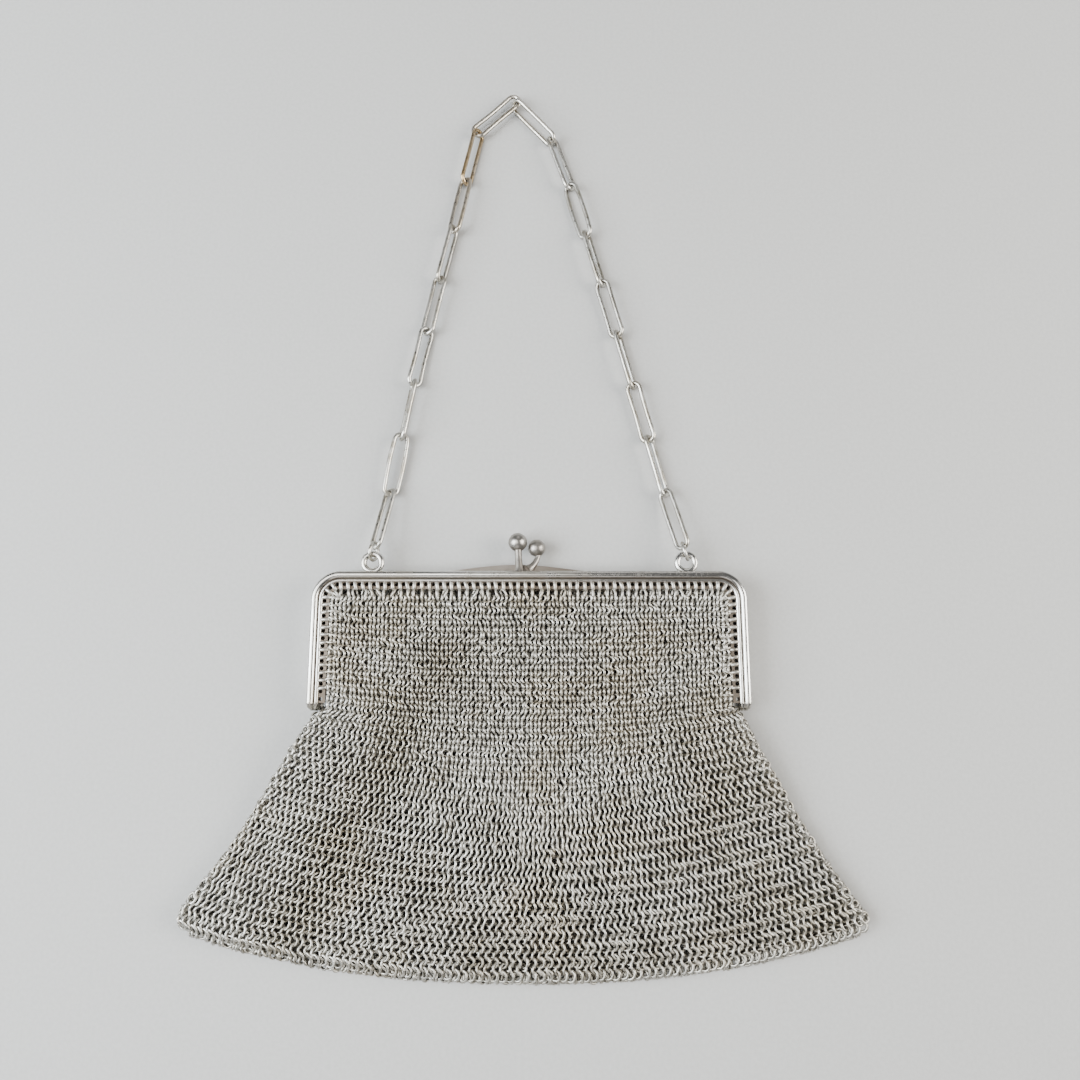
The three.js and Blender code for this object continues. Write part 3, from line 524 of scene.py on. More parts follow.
def rail_block(out, leg_end, bowed):
    """The rail's section set at each point of the path, out to the front (1) or back (-1)."""
    path, inward = frame_path(leg_end, bowed)
    section = rail_section()
    flat = path[:, None] + inward[:, None] * section[None, :, :1]
    height = HALF_DEPTH + out * np.broadcast_to(section[:, 1], flat.shape[:2])
    return np.concatenate([flat, height[..., None]], -1)


print("rail section:", len(rail_section()), "points")

# %% [markdown]
# ## The pierced flange
# Inside the rail runs a thin flange with a row of small holes. It is made of cells laid
# end to end. Each cell is a square of plate with a round hole, so its skin runs from the
# square's outline to the rim of the hole, down through the hole and back out underneath.


# %% The pierced flange
CELL_SIDE = 4


def flange_line(distance, inset):
    """A point and inward direction at a distance along the hole line, and at an inset.

    The line runs up the left leg, round a quarter circle, along the top and down again."""
    radius = CORNER_RADIUS - HOLE_INSET
    start = BACK_LEG_END + HOLE_PITCH / 2
    leg, arc, top = TURN_Y - start, radius * np.pi / 2, 2 * TURN_X
    total = 2 * leg + 2 * arc + top
    half = np.minimum(distance, total - distance)
    side = np.where(distance <= total / 2, -1.0, 1.0)
    angle = np.clip((half - leg) / radius, 0, np.pi / 2)
    in_x, in_y = np.cos(angle), -np.sin(angle)
    reach = CORNER_RADIUS - inset
    x = -TURN_X - reach * in_x + np.maximum(half - leg - arc, 0)
    y = TURN_Y - reach * in_y + np.minimum(half - leg, 0)
    return x * -side, y, in_x * -side, in_y


def hole_distances():
    """Distances of the hole centres along the hole line, evenly spaced."""
    radius = CORNER_RADIUS - HOLE_INSET
    leg = TURN_Y - BACK_LEG_END - HOLE_PITCH / 2
    total = 2 * leg + np.pi * radius + 2 * TURN_X
    return np.linspace(0, total, round(total / HOLE_PITCH) + 1)


def flange_mesh(out, spare):
    """Points and quads of one half's flange, cell by cell, welded along the shared sides.

    The front flange has a spare cell at each end, which hides the end of the back one."""
    centres = hole_distances()
    pitch = centres[1] - centres[0]
    centres = np.linspace(-spare * pitch, centres[-1] + spare * pitch, len(centres) + 2 * spare)
    low, high = -(HOLE_INSET - RAIL_WIDTH - BAND_WIDTH / 2), FLANGE_EDGE - HOLE_INSET
    k = np.linspace(0, 1, CELL_SIDE, endpoint=False)
    one, w = np.ones(CELL_SIDE), pitch / 2
    along = np.concatenate([-w + pitch * k, w * one, w - pitch * k, -w * one])
    inset = np.concatenate([low * one, low + (high - low) * k,
                            high * one, high - (high - low) * k])
    angle = np.arctan2(inset, along)
    rim = HOLE_DIAMETER / 2 * np.stack([np.cos(angle), np.sin(angle)])
    plan_s = np.stack([along, rim[0], rim[0], along])
    plan_n = np.stack([inset, rim[1], rim[1], inset])
    side = np.array([1, 1, -1, -1])[:, None] * FLANGE_THICKNESS / 2
    x, y, _, _ = flange_line(centres[:, None, None] + plan_s, HOLE_INSET + plan_n)
    z = np.broadcast_to(HALF_DEPTH + out * FLANGE_MIDDLE + side, x.shape)
    points = np.stack([x, y, z], -1).reshape(-1, 3)
    around, layers = 4 * CELL_SIDE, 4
    skin = block_faces(layers, around, False, True)
    upper, underneath = np.arange(around), (layers - 1) * around
    following = np.roll(upper, -1)
    walls = np.stack([underneath + upper, upper, following, underneath + following], -1)
    walls = walls.reshape(4, CELL_SIDE, 4)
    starts = np.arange(len(centres)) * layers * around
    # Each cell keeps its two long walls, and only the first and last cell have an end wall
    faces = [(skin[None] + starts[:, None, None]).reshape(-1, 4)]
    for side_wall, where in ((0, starts), (2, starts), (1, starts[-1:]), (3, starts[:1])):
        faces.append((walls[side_wall][None] + where[:, None, None]).reshape(-1, 4))
    faces = np.concatenate(faces)
    _, first, same = np.unique(points.round(4), axis=0, return_index=True, return_inverse=True)
    return points[first], same.ravel()[faces]


print("flange holes:", len(hole_distances()))

# %% [markdown]
# ## Both halves of the frame
# The rail is one section drawn along the path. The hinge at the foot of each leg is small
# and stepped, so its form is taken from the CAD model's own faces below the end of the
# rail. Kiss-lock balls are solid turnings on short stems, soldered to the top rails.


# %% Both halves of the frame
SHARP_FRAME, SHARP_HINGE = 38, 34


def cut_from_cad(node, highest_y):
    """The part of a CAD node below a height, closed where it is cut, for editing."""
    solid = bmesh.new()
    solid.from_mesh(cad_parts[node].data)
    bmesh.ops.remove_doubles(solid, verts=solid.verts, dist=1e-7)
    everything = list(solid.verts) + list(solid.edges) + list(solid.faces)
    cut = bmesh.ops.bisect_plane(solid, geom=everything, plane_co=(0, highest_y * MM, 0),
                                 plane_no=(0, 1, 0), clear_outer=True)
    edges = [e for e in cut["geom_cut"] if isinstance(e, bmesh.types.BMEdge)]
    bmesh.ops.holes_fill(solid, edges=edges)
    return solid


def hinge_piece(name, node, highest_y):
    """The hinge ends of one half, cut from the CAD node and shaded smooth."""
    solid = cut_from_cad(node, highest_y)
    mesh = bpy.data.meshes.new(name)
    solid.to_mesh(mesh)
    solid.free()
    mesh.polygons.foreach_set("use_smooth", np.ones(len(mesh.polygons), bool))
    mesh.set_sharp_from_angle(angle=np.radians(SHARP_HINGE))
    return add_object(name, mesh)


def ball(centre, radius, rings=24, sides=32):
    """Latitude circles: centre + r (sin p cos a, sin p sin a, cos p), p from pole to pole."""
    p = np.linspace(0.02, np.pi - 0.02, rings)[:, None]
    a = np.arange(sides)[None] * 2 * np.pi / sides
    unit_ball = np.stack([np.sin(p) * np.cos(a), np.sin(p) * np.sin(a), np.cos(p) + 0 * a], -1)
    return loft(np.asarray(centre) + radius * unit_ball)


def swept(points, radii, sides=20):
    """Circles of the given radii round a row of centre points, square to the row's way."""
    points = np.asarray(points, float)
    way = unit(np.gradient(points, axis=0))
    first = unit(np.cross(way, np.array([0.3, 0.2, 1.0])))
    second = np.cross(way, first)
    a = np.arange(sides) * 2 * np.pi / sides
    circle = np.cos(a)[None, :, None] * first[:, None] + np.sin(a)[None, :, None] * second[:, None]
    return loft(points[:, None] + np.asarray(radii)[:, None, None] * circle)


def lock(foot, top, ball_size, stem_size, bend):
    """A stem on a curve from foot to ball, flared at its foot, and the ball on its end."""
    foot, top = np.array(foot), np.array(top)
    t = np.linspace(0, 1, 22)[:, None]
    way = foot + (top - foot) * t + np.array([bend, 0, 0]) * 4 * t * (1 - t)
    flare = 1 + 0.9 * np.exp(-t[:, 0] / 0.09) - 0.12 * np.exp(-((t[:, 0] - 0.55) / 0.2) ** 2)
    return join([swept(way, stem_size / 2 * flare), ball(top, ball_size / 2)])


def torus(centre, first, second, radius, wire, steps=40, sides=16):
    """One closed round wire: centre + R (cos t first + sin t second), with a round section."""
    t = np.arange(steps) * 2 * np.pi / steps
    outward = np.cos(t)[:, None] * np.asarray(first) + np.sin(t)[:, None] * np.asarray(second)
    upward = np.broadcast_to(np.cross(first, second), outward.shape)
    loop = np.asarray(centre) + radius * outward
    return closed_tubes(loop[None], outward[None], upward[None], [wire / 2], sides)


def frame_piece(name, parts):
    """A frame object from several skins, with edges sharper than an angle kept sharp."""
    made = make_object(name, *join(parts))
    made.data.set_sharp_from_angle(angle=np.radians(SHARP_FRAME))
    print(name, 2 * len(made.data.polygons), "triangles")
    return made


# The rails end this far above the CAD's leg ends, where the hinge pieces take over
CUT = 0.35
front_rail = frame_piece("front_rail", [loft(rail_block(1, LEG_END + CUT, False))])
front_flange = frame_piece("front_flange", [flange_mesh(1, 1)])
front_hinges = hinge_piece("front_hinges", "frame_front", LEG_END + CUT)
front_lock = frame_piece(
    "front_lock", [lock((-3.0, 22.9, 6.6), (-3.6, 33.2, 5.4), ball_size=5.7, stem_size=2.3, bend=0.0)])
eyelet_size = (EYELET_HOLE + EYELET_WIRE) / 2
eyelets = frame_piece("eyelets", [
    torus((side * EYELET_X, EYELET_Y, 1.5 * HALF_DEPTH), (1, 0, 0), (0, 1, 0),
          eyelet_size, EYELET_WIRE) for side in (-1, 1)])
back_rail = frame_piece("back_rail", [loft(rail_block(-1, BACK_LEG_END + CUT, True))])
back_flange = frame_piece("back_flange", [flange_mesh(-1, 0)])
back_hinges = hinge_piece("back_hinges", "frame_back", BACK_LEG_END + CUT)
back_lock = frame_piece(
    "back_lock", [lock((-0.3, 24.9, 4.7), (2.2, 31.6, 4.0), ball_size=5.3, stem_size=1.8, bend=1.4)])
front_pieces = [front_rail, front_flange, front_hinges, front_lock, eyelets]
back_pieces = [back_rail, back_flange, back_hinges, back_lock]

# %% [markdown]
# ## Wire loops along the flange
# A small wire loop is bent round the flange's edge between each two holes, and the first
# rings of the mesh hang from these loops. In the photo the loops are the bright beads next
# to the row of dark holes.


# %% Wire loops along the flange
LOOP_STEPS, LOOP_SIDES, LOOP_SQUARENESS = 16, 8, 0.75


def flange_places(distance, inset, out):
    """Points in the flange's plane, with the directions into the U and along its line."""
    x, y, in_x, in_y = flange_line(distance, inset)
    centre = np.stack([x, y, np.full(len(x), HALF_DEPTH + out * FLANGE_MIDDLE)], -1)
    inward = np.stack([in_x, in_y, 0 * in_x], -1)
    return centre, inward, np.cross(UP, inward)


def flange_loops(name, out, inset, length, height, wire, slant):
    """Squashed rings round the flange's edge: half length along the way in, half height up.

    Points are centre + length c inward + height s upward, with c and s the cosine and sine
    of an angle, each raised to a power below one so that the loop is nearly a rectangle."""
    holes = hole_distances()
    count = len(holes) - 1
    between = (holes[:-1] + holes[1:]) / 2 + rng.normal(0, 0.06, count)
    centre, inward, sideways = flange_places(between, inset + rng.normal(0, 0.07, count), out)
    way = turned(inward, sideways, slant + rng.normal(0, 0.10, count))
    t = np.arange(LOOP_STEPS) * 2 * np.pi / LOOP_STEPS
    c, s = (np.sign(wave) * np.abs(wave) ** LOOP_SQUARENESS for wave in (np.cos(t), np.sin(t)))
    in_part, up_part = c[None, :, None] * way[:, None], s[None, :, None] * UP
    outward = in_part + up_part
    loop = centre[:, None] + length * in_part + height * up_part
    points, faces = bent_wires(loop, outward, wire, LOOP_SIDES)
    tone = np.repeat(rng.uniform(0.75, 1.25, count), LOOP_STEPS * LOOP_SIDES)
    return make_object(name, points, faces, {"tone": tone})


loops = [flange_loops("front_loops", 1, 4.46, length=1.02, height=0.76, wire=1.08, slant=0.14),
         flange_loops("back_loops", -1, 4.48, length=0.98, height=0.66, wire=0.90, slant=0.16)]


def hanging_rings(name, out, inset, lean, shift, painted_ring_shade):
    """The rings that hang in the wire loops: upright where the lean is 0, flat where it is 1.6."""
    count = len(hole_distances())
    distance = hole_distances() + shift + rng.normal(0, 0.15, count)
    centre, inward, sideways = flange_places(distance, inset + rng.normal(0, 0.12, count), out)
    angle = lean + rng.normal(0, 0.18, count)
    return single_rings(name, centre, turned(inward, sideways, rng.normal(0, 0.2, count)),
                        turned(np.tile(UP * 0.6, (count, 1)), sideways, angle),
                        MESH_RING, MESH_WIRE, 14, 6, painted_ring_shade)


# Painted shade: the back hangers are darkened all over, the front hangers not at all.
loops.append(hanging_rings("front_hangers", 1, 6.8, 0.15, HOLE_PITCH / 2, 0.0))
loops.append(hanging_rings("back_hangers", -1, 6.5, 1.30, 0.0, 0.8))

# %% [markdown]
# ## The chain
# Each long link of the CAD model lies at its own slope. Its middle, its length and its flat
# side are measured from the solid's points: the widest spread of the points is the link's
# way, and the narrowest is the direction square to its flat side. The wire is made a little
# thicker than the CAD model's, as the photo shows it, with the same outer width.


# %% The chain
BEND_POINTS, SIDE_POINTS, WAIST = 15, 6, 0.10


def node_axes(node):
    """Middle, and the three directions of most to least spread, of a CAD node's points."""
    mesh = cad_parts[node].data
    points = np.empty(len(mesh.vertices) * 3)
    mesh.vertices.foreach_get("co", points)
    points = np.unique((points.reshape(-1, 3) / MM).round(4), axis=0)
    middle = points.mean(0)
    _, _, axes = np.linalg.svd(points - middle)
    ends = (points - middle) @ axes.T
    return middle, axes, ends.max(0) - ends.min(0)


# Painted shade for the undersides of the chain's wires.
def underside(points, loop, radius):
    """How far a wire's points lie below its crest: 0 on the upper side and 1 underneath."""
    level = (points.reshape(len(loop), -1, 3) - loop[:, None])[..., 2] / radius
    return smooth_step(0.72 - level).ravel()


def long_link(node):
    """A link of round wire: two straight sides and two half circles, slightly uneven.

    Its points are middle + x across + y along, lifted until none of the wire is below the floor."""
    middle, (along, across, _), (length, _, _) = node_axes(node)
    radius = (LINK_WIDTH - LINK_WIRE) / 2
    straight = (length - LINK_WIDTH) / 2
    bend = np.linspace(0, np.pi, BEND_POINTS)
    side = np.linspace(straight, -straight, SIDE_POINTS + 2)[1:-1]
    one, end = np.ones(SIDE_POINTS), np.full(BEND_POINTS, straight)
    out_x = np.concatenate([np.cos(bend), -one, -np.cos(bend), one])
    out_y = np.concatenate([np.sin(bend), 0 * one, -np.sin(bend), 0 * one])
    x, y = radius * out_x, radius * out_y + np.concatenate([end, side, -end, -side])
    waist = WAIST * rng.normal(0, 1) * np.cos(np.pi * np.clip(y / straight, -1, 1) / 2)
    x = x + waist * np.sign(x)
    loop = middle + x[:, None] * across + y[:, None] * along
    loop[:, 2] += max(0, LINK_WIRE / 2 - loop[:, 2].min())
    outward = out_x[:, None] * across + out_y[:, None] * along
    upward = np.broadcast_to(np.cross(across, along), outward.shape)
    points, faces = closed_tubes(loop[None], outward[None], upward[None], [LINK_WIRE / 2], 14)
    return points, faces, {"painted_under_shade": underside(points, loop, LINK_WIRE / 2)}


def jump_ring(node):
    """A round ring in the plane of the CAD ring's two wide directions."""
    middle, (first, second, _), (width, _, _) = node_axes(node)
    steps, sides = 36, 12
    points, faces = torus(middle, first, second, (width - RING_WIRE) / 2, RING_WIRE, steps, sides)
    loop = points.reshape(steps, sides, 3).mean(1)
    return points, faces, {"painted_under_shade": underside(points, loop, RING_WIRE / 2)}


chain = []
for k in range(1, 19):
    node = f"link_{k:02d}"
    piece = make_object(f"chain_{node}", *long_link(node))
    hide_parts(node)
    chain.append(piece)
for side in ("left", "right"):
    node = f"jump_ring_{side}"
    piece = make_object(f"chain_{node}", *jump_ring(node))
    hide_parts(node)
    chain.append(piece)
print("chain pieces:", len(chain), "link size:", node_axes("link_05")[2].round(2))

# %% [markdown]
# ## Metals
# All pieces are nickel silver, but worn in different ways. The frame is smooth and bright
# with brown tarnish in its grooves, and carries painted shade and painted dark reflections on
# its balls, top rail and undersides. The chain is bright with amber patches near its top and
# painted shade on its lower side. The rings are dulled and stained here and there, with
# painted shade along the fold valleys and on the lower part of each ring. Each finish is one
# shader. Its colour and gloss vary with noise in object space and with values kept on the points.


# %% Metals
class Shader:
    """A small helper that adds nodes to a material and links them."""

    def __init__(self, name):
        self.material = bpy.data.materials.new(name)
        self.material.use_nodes = True
        self.tree = self.material.node_tree
        self.bsdf = self.tree.nodes["Principled BSDF"]
        self.place = self.add("ShaderNodeTexCoord").outputs["Object"]

    def add(self, kind, **settings):
        node = self.tree.nodes.new(kind)
        for key, value in settings.items():
            setattr(node, key, value)
        return node

    def link(self, out, into):
        self.tree.links.new(out, into)

    def noise(self, scale, detail=3.0, roughness=0.55, stretch=None):
        """Smooth random values from 0 to 1 that change scale times in a metre."""
        node = self.add("ShaderNodeTexNoise")
        node.inputs["Scale"].default_value = scale
        node.inputs["Detail"].default_value = detail
        node.inputs["Roughness"].default_value = roughness
        place = self.place
        if stretch:
            mapping = self.add("ShaderNodeMapping")
            mapping.inputs["Scale"].default_value = stretch
            self.link(place, mapping.inputs["Vector"])
            place = mapping.outputs["Vector"]
        self.link(place, node.inputs["Vector"])
        return node.outputs["Fac"]

    def value(self, name):
        return self.add("ShaderNodeAttribute", attribute_name=name).outputs["Fac"]

    def ramp(self, fac, low, high, to_low=0.0, to_high=1.0):
        """Values from low to high mapped onto to_low to to_high, and held outside."""
        node = self.add("ShaderNodeMapRange", interpolation_type="SMOOTHSTEP")
        for socket, value in zip(node.inputs[1:5], (low, high, to_low, to_high)):
            socket.default_value = value
        self.link(fac, node.inputs["Value"])
        return node.outputs["Result"]

    def math(self, operation, a, b):
        node = self.add("ShaderNodeMath", operation=operation)
        for socket, value in zip(node.inputs, (a, b)):
            if isinstance(value, (int, float)):
                socket.default_value = value
            else:
                self.link(value, socket)
        return node.outputs[0]

    def mix(self, fac, a, b):
        """Colour a where fac is 0 and colour b where it is 1."""
        node = self.add("ShaderNodeMix", data_type="RGBA")
        self.link(fac, node.inputs["Factor"])
        for socket, value in ((node.inputs[6], a), (node.inputs[7], b)):
            if isinstance(value, tuple):
                socket.default_value = (*value, 1.0)
            else:
                self.link(value, socket)
        return node.outputs[2]

    def bump(self, height, strength, distance):
        node = self.add("ShaderNodeBump")
        node.inputs["Strength"].default_value = strength
        node.inputs["Distance"].default_value = distance
        self.link(height, node.inputs["Height"])
        self.link(node.outputs["Normal"], self.bsdf.inputs["Normal"])

    def finish(self, colour, rough):
        self.link(colour, self.bsdf.inputs["Base Color"])
        self.link(rough, self.bsdf.inputs["Roughness"])
        self.bsdf.inputs["Metallic"].default_value = 1.0
        return self.material


def ring_metal():
    """Dulled rings: each its own tone, with stains here and there, painted shade along the fold
    valleys, and painted shade on the lower part of each ring.
    """
    s = Shader("ring_mesh_metal")
    colour = s.mix(s.value("tone"), (0.48, 0.46, 0.415), (0.66, 0.645, 0.60))
    patches = s.ramp(s.noise(48.0, 4.0), 0.46, 0.66)
    colour = s.mix(s.math("MULTIPLY", patches, 0.5), colour, (0.52, 0.465, 0.37))
    spots = s.ramp(s.noise(240.0, 3.0), 0.60, 0.70)
    colour = s.mix(s.math("MULTIPLY", spots, 0.4), colour, (0.42, 0.36, 0.27))
    # Stains, and painted shade along the fold valleys, in one brown.
    colour = s.mix(s.value("stain_and_fold_shade"), colour, (0.36, 0.325, 0.255))
    # Painted shade: each ring's shaded parts are mixed towards this dark colour.
    colour = s.mix(s.math("MULTIPLY", s.value("painted_ring_shade"), 0.71), colour, (0.15, 0.13, 0.10))
    rough = s.ramp(s.noise(420.0, 3.0), 0.3, 0.7, 0.36, 0.54)
    s.bump(s.noise(2600.0, 3.0), 0.25, 0.00006)
    return s.finish(colour, rough)


def frame_metal():
    """Polished plate with hairline scratches, cloudy wear, brown dirt in the grooves, and painted
    shade and painted dark reflections in the same brown.
    """
    s = Shader("frame_polished_metal")
    cloud = s.ramp(s.noise(70.0, 5.0), 0.42, 0.66)
    colour = s.mix(cloud, (0.76, 0.755, 0.73), (0.60, 0.575, 0.52))
    dirt_and_painted_dark = s.value("dirt_and_painted_dark")
    # The same dark brown paints dirt, painted shade and painted dark reflections.
    colour = s.mix(dirt_and_painted_dark, colour, (0.15, 0.118, 0.09))
    hairlines = s.noise(900.0, 4.0, 0.7, (1.0, 0.12, 1.0))
    rough = s.math("ADD", s.ramp(cloud, 0.0, 1.0, 0.20, 0.32),
                   s.ramp(hairlines, 0.5, 0.8, 0.0, 0.12))
    rough = s.math("ADD", rough, s.ramp(dirt_and_painted_dark, 0.25, 0.9, 0.0, 0.3))
    s.bump(s.noise(500.0, 4.0), 0.12, 0.0001)
    return s.finish(colour, rough)


def chain_metal():
    """Bright wire with amber tarnish on some links and painted shade on its lower side."""
    s = Shader("chain_wire_metal")
    cloud = s.ramp(s.noise(180.0, 4.0), 0.45, 0.65)
    colour = s.mix(cloud, (0.72, 0.71, 0.67), (0.52, 0.49, 0.42))
    patches = s.ramp(s.noise(90.0, 1.0), 0.15, 0.60, 0.45, 1.0)
    amber = s.math("MULTIPLY", s.value("amber"), patches)
    colour = s.mix(amber, colour, (0.52, 0.36, 0.17))
    # Painted shade: the underside of each wire is darkened.
    colour = s.mix(s.math("MULTIPLY", s.value("painted_under_shade"), 0.85), colour, (0.13, 0.11, 0.085))
    rough = s.ramp(s.noise(700.0, 3.0), 0.3, 0.7, 0.26, 0.38)
    s.bump(s.noise(900.0, 2.0), 0.05, 0.00005)
    return s.finish(colour, rough)


ring_finish, frame_finish, chain_finish = ring_metal(), frame_metal(), chain_metal()

# %% [markdown]
# ## Stains, dirt, tarnish and painted shade
# These depend on where a point lies, so they are worked out once, for all points of a piece
# together, and kept on the points: stains and painted fold shade along lines of the bag and
# stains at its spots, dirt with painted shade and painted dark reflections on the frame, and
# amber tarnish on the links next to the top of the chain. The photo's balls and the right half
# of its top rail are dark, as they mirror dark cloth. On this pale floor the same darkness is
# painted in as a dark reflection, so it stays when the light changes.


# %% Stains, dirt, tarnish and painted shade
def points_of(piece):
    """All points of a piece in millimetres."""
    co = np.empty(len(piece.data.vertices) * 3)
    piece.data.vertices.foreach_get("co", co)
    return co.reshape(-1, 3) / MM


def keep(piece, name, values):
    """Stores one value for each point of a piece."""
    layer = piece.data.attributes.new(name, "FLOAT", "POINT")
    layer.data.foreach_set("value", np.asarray(values, np.float32))


def line_distance(points, start, end):
    """Distance in the XY plane from a straight stretch between two points."""
    start, run = np.array(start), np.array(end) - np.array(start)
    t = np.clip(((points[:, :2] - start) @ run) / (run @ run), 0, 1)
    return np.hypot(*(points[:, :2] - start - t[:, None] * run).T)


# The lines paint stains together with shade along the fold valleys; the spots are stains.
FOLD_SHADE_AND_STAIN_LINES = [((-26, -3), (-70, -82), 8.0, 0.55), ((44, -20), (66, -80), 7.0, 0.35),
               ((-14, -86), (34, -88), 9.0, 0.30)]
STAIN_SPOTS = [((-52, 11), 4.0, 0.45), ((-40, -32), 6.0, 0.25), ((20, 10), 7.0, 0.2),
               ((-14, 4), 14.0, 0.22), ((84, -74), 12.0, 0.25)]


def stain_and_fold_shade_of(points):
    """Bell curves of the distance from the lines, which paint stains and shade along the fold valleys,
    and from the stain spots, added and held below 0.8.
    """
    total = np.zeros(len(points))
    for start, end, width, amount in FOLD_SHADE_AND_STAIN_LINES:
        total += amount * np.exp(-((line_distance(points, start, end) / width) ** 2))
    for spot, width, amount in STAIN_SPOTS:
        total += amount * np.exp(-((np.hypot(*(points[:, :2] - spot).T) / width) ** 2))
    return np.clip(total, 0, 0.8)


def rail_dirt_and_painted_dark(piece):
    """Dirt and painted darkness on a rail, by how far a point is from the outer edge of the U.

    The dirt is deepest in the groove and along the band's inner edge. The top rail is darker on
    its band, has a painted dark reflection that is stronger on the right, and is darker where
    the back rail is bent."""
    points = points_of(piece)
    x, y = np.abs(points[:, 0]), points[:, 1]
    corner = (x > TURN_X) & (y > TURN_Y)
    from_top = np.where(x < TURN_X + 1, FRAME_TOP - y, np.inf)
    inset = np.where(corner, CORNER_RADIUS - np.hypot(x - TURN_X, y - TURN_Y),
                     np.minimum(FRAME_WIDTH / 2 - x, from_top))
    groove = np.exp(-(((inset - RAIL_WIDTH) / 0.22) ** 2))
    inner = 0.6 * np.exp(-(((inset - RAIL_AND_BAND) / 0.15) ** 2))
    on_top = smooth_step((y - TURN_Y) / CORNER_RADIUS)
    band = (0.38 - 0.12 * np.sign(points[:, 0])) * smooth_step((inset - RAIL_WIDTH) / 0.4) * on_top
    # Painted reflection: the top rail is darkened as if it mirrored a dark room, more on the right.
    painted_dark_reflection = (0.08 + 0.30 * smooth_step((points[:, 0] + 5) / 30)) * on_top
    bent = smooth_step(bow(points[:, 0]) / 1.2) * on_top if piece.name == "back_rail" else 0
    return np.clip(groove + inner + band + painted_dark_reflection + 0.74 * bent, 0, 0.9)


def painted_dark_below(piece, painted_dark_all_over, amount):
    """Painted darkness on a turned piece: an amount all over, which paints a dark reflection, and more
    lower down, which paints shade on its underside.
    """
    z = points_of(piece)[:, 2]
    level = (z - z.max()) / LOCK_RADIUS + 1
    return painted_dark_all_over + amount * smooth_step(0.6 - level)


LOCK_RADIUS = 2.75
# Painted dark reflection all over, and painted shade lower down, for the balls and eyelets.
PAINTED_DARK_TURNINGS = {"front_lock": (0.55, 0.40), "back_lock": (0.65, 0.30), "eyelets": (0.0, 0.35)}
ALL_OVER_DIRT = {"front_flange": 0.92, "back_flange": 0.9, "front_hinges": 0.3, "back_hinges": 0.3}
AMBER = {"chain_link_08": 0.9, "chain_link_09": 0.25, "chain_link_07": 0.35, "chain_link_10": 0.1}

for piece in bag_pieces + loops:
    keep(piece, "stain_and_fold_shade", stain_and_fold_shade_of(points_of(piece)) * (1.0 if piece in bag_pieces else 0.5))
    piece.data.materials.append(ring_finish)
for piece in front_pieces + back_pieces:
    if piece.name.endswith("rail"):
        dirt_and_painted_dark = rail_dirt_and_painted_dark(piece)
    elif piece.name in PAINTED_DARK_TURNINGS:
        dirt_and_painted_dark = painted_dark_below(piece, *PAINTED_DARK_TURNINGS[piece.name])
    else:
        dirt_and_painted_dark = np.full(len(piece.data.vertices), ALL_OVER_DIRT.get(piece.name, 0.0))
    keep(piece, "dirt_and_painted_dark", dirt_and_painted_dark)
    piece.data.materials.append(frame_finish)
for piece in chain:
    keep(piece, "amber", np.full(len(piece.data.vertices), AMBER.get(piece.name, 0.06)))
    piece.data.materials.append(chain_finish)
for node in ("rivet_left", "rivet_right"):
    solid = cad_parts[node]
    solid.data.materials.clear()
    solid.data.materials.append(frame_finish)

# %% [markdown]
# ## What stands for what
# The fine pieces take the place of the plain solids, which are no longer shown. Everything
# rides on the model's one body.

# %% What stands for what
for piece in bag_pieces + loops:
    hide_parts("mesh_bag")
for piece in front_pieces:
    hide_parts("frame_front")
for piece in back_pieces:
    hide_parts("frame_back")
for piece in bag_pieces + loops + front_pieces + back_pieces + chain:
    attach(piece, "root")

# %% [markdown]
# ## Floor, light and camera
# The purse lies on a plain pale floor under soft studio light. The camera looks almost
# straight down, a little from the foot of the bag, from about a quarter of a metre, as the
# photo does.

# %% Floor, light and camera
SENSOR, FOCAL_SHARE = 36.0, 811 / 1080
LOOK_AT = Vector((3.2, 33.8, 6.0)) * MM
DISTANCE, ELEVATION = 247.0 * MM, np.radians(80)

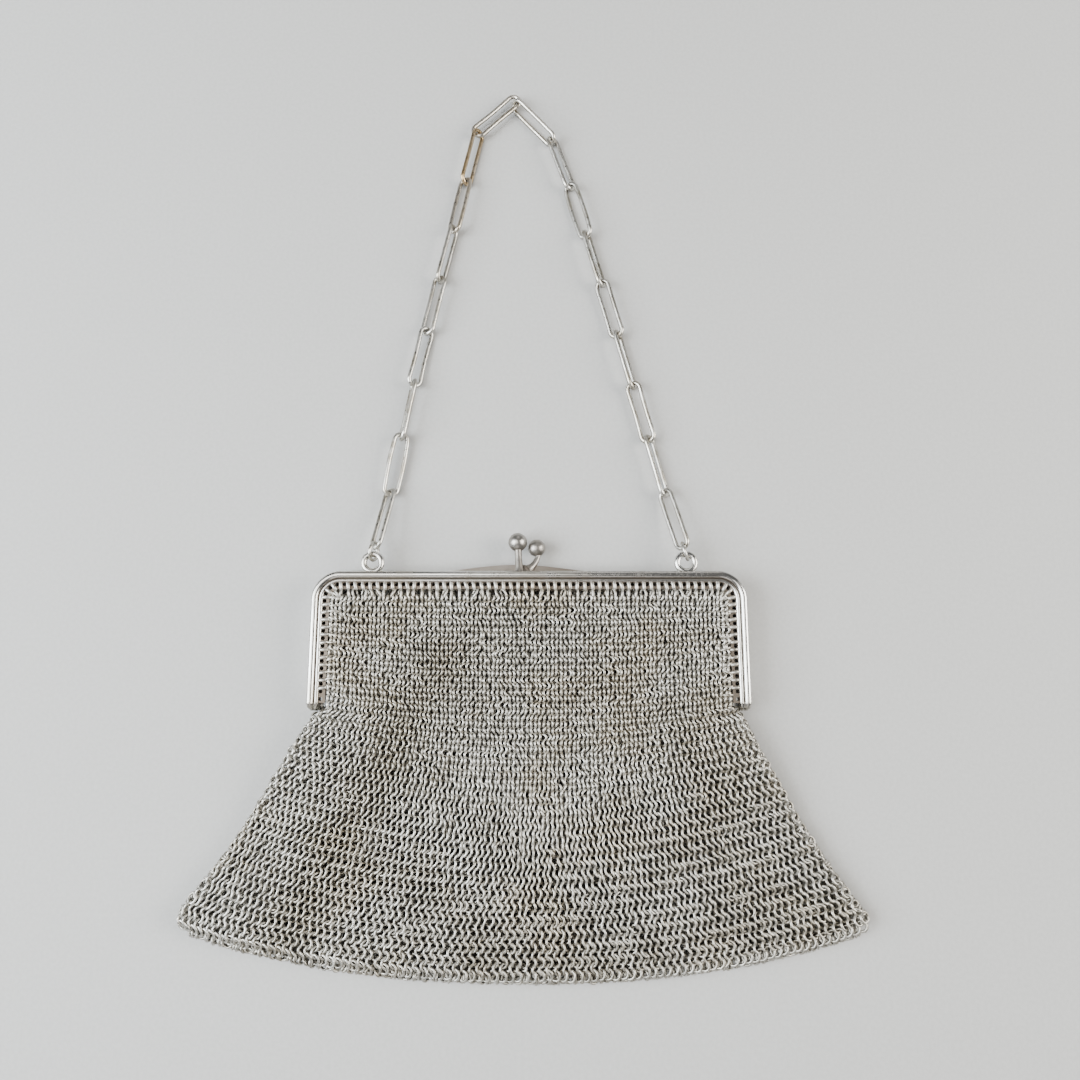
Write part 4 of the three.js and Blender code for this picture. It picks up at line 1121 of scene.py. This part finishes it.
camera_data = bpy.data.cameras.new("camera")
camera_data.sensor_width = SENSOR
camera_data.lens = SENSOR * FOCAL_SHARE
camera_data.clip_start = 0.01
camera = add_object("camera", camera_data)
back = Vector((0, -np.cos(ELEVATION), np.sin(ELEVATION)))
camera.location = LOOK_AT + back * DISTANCE
camera.rotation_mode = "QUATERNION"
camera.rotation_quaternion = (-back).to_track_quat("-Z", "Y")
bpy.context.scene.camera = camera

FLOOR_HALF = 2000.0
floor_points = np.array([(-1, -1, 0), (1, -1, 0), (1, 1, 0), (-1, 1, 0)]) * FLOOR_HALF
floor = make_object("floor", floor_points, np.array([[0, 1, 2, 3]]))
paper = Shader("pale_paper")
grain = paper.ramp(paper.noise(900.0, 4.0), 0.3, 0.7)
paper.link(paper.mix(grain, (0.52, 0.52, 0.51), (0.56, 0.56, 0.55)), paper.bsdf.inputs["Base Color"])
paper.bsdf.inputs["Roughness"].default_value = 0.9
floor.data.materials.append(paper.material)
floor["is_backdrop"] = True


def softbox(name, place, size, power, colour):
    """A square area light that faces the purse."""
    data = bpy.data.lights.new(name, "AREA")
    data.shape, data.size, data.energy, data.color = "SQUARE", size, power, colour
    light = add_object(name, data)
    light.location = Vector(place)
    light.rotation_mode = "QUATERNION"
    light.rotation_quaternion = (LOOK_AT - light.location).to_track_quat("-Z", "Y")


softbox("window_left", (-0.70, -0.05, 0.50), 0.60, 16.0, (0.90, 0.96, 1.0))
softbox("window_right", (0.72, 0.05, 0.42), 0.50, 9.5, (1.0, 0.97, 0.91))
softbox("ceiling", (-0.36, -0.02, 0.95), 0.70, 7.0, (1.0, 0.985, 0.95))
softbox("fill_back", (0.10, 0.85, 0.50), 0.45, 0.8, (1.0, 0.98, 0.95))
softbox("fill_front", (-0.10, -0.85, 0.40), 0.60, 1.4, (1.0, 0.96, 0.92))
world = bpy.data.worlds.new("studio")
world.use_nodes = True
sky = world.node_tree.nodes["Background"].inputs
sky["Color"].default_value = (0.80, 0.82, 0.85, 1)
sky["Strength"].default_value = 0.12
bpy.context.scene.world = world

# %% [markdown]
# The dressed purse should be as large as the CAD model. Both boxes are written down.

box_at_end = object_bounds()
for label, (low, high) in (("start", box_at_start), ("end", box_at_end)):
    print(label, [round(v / MM, 1) for v in low], [round(v / MM, 1) for v in high])
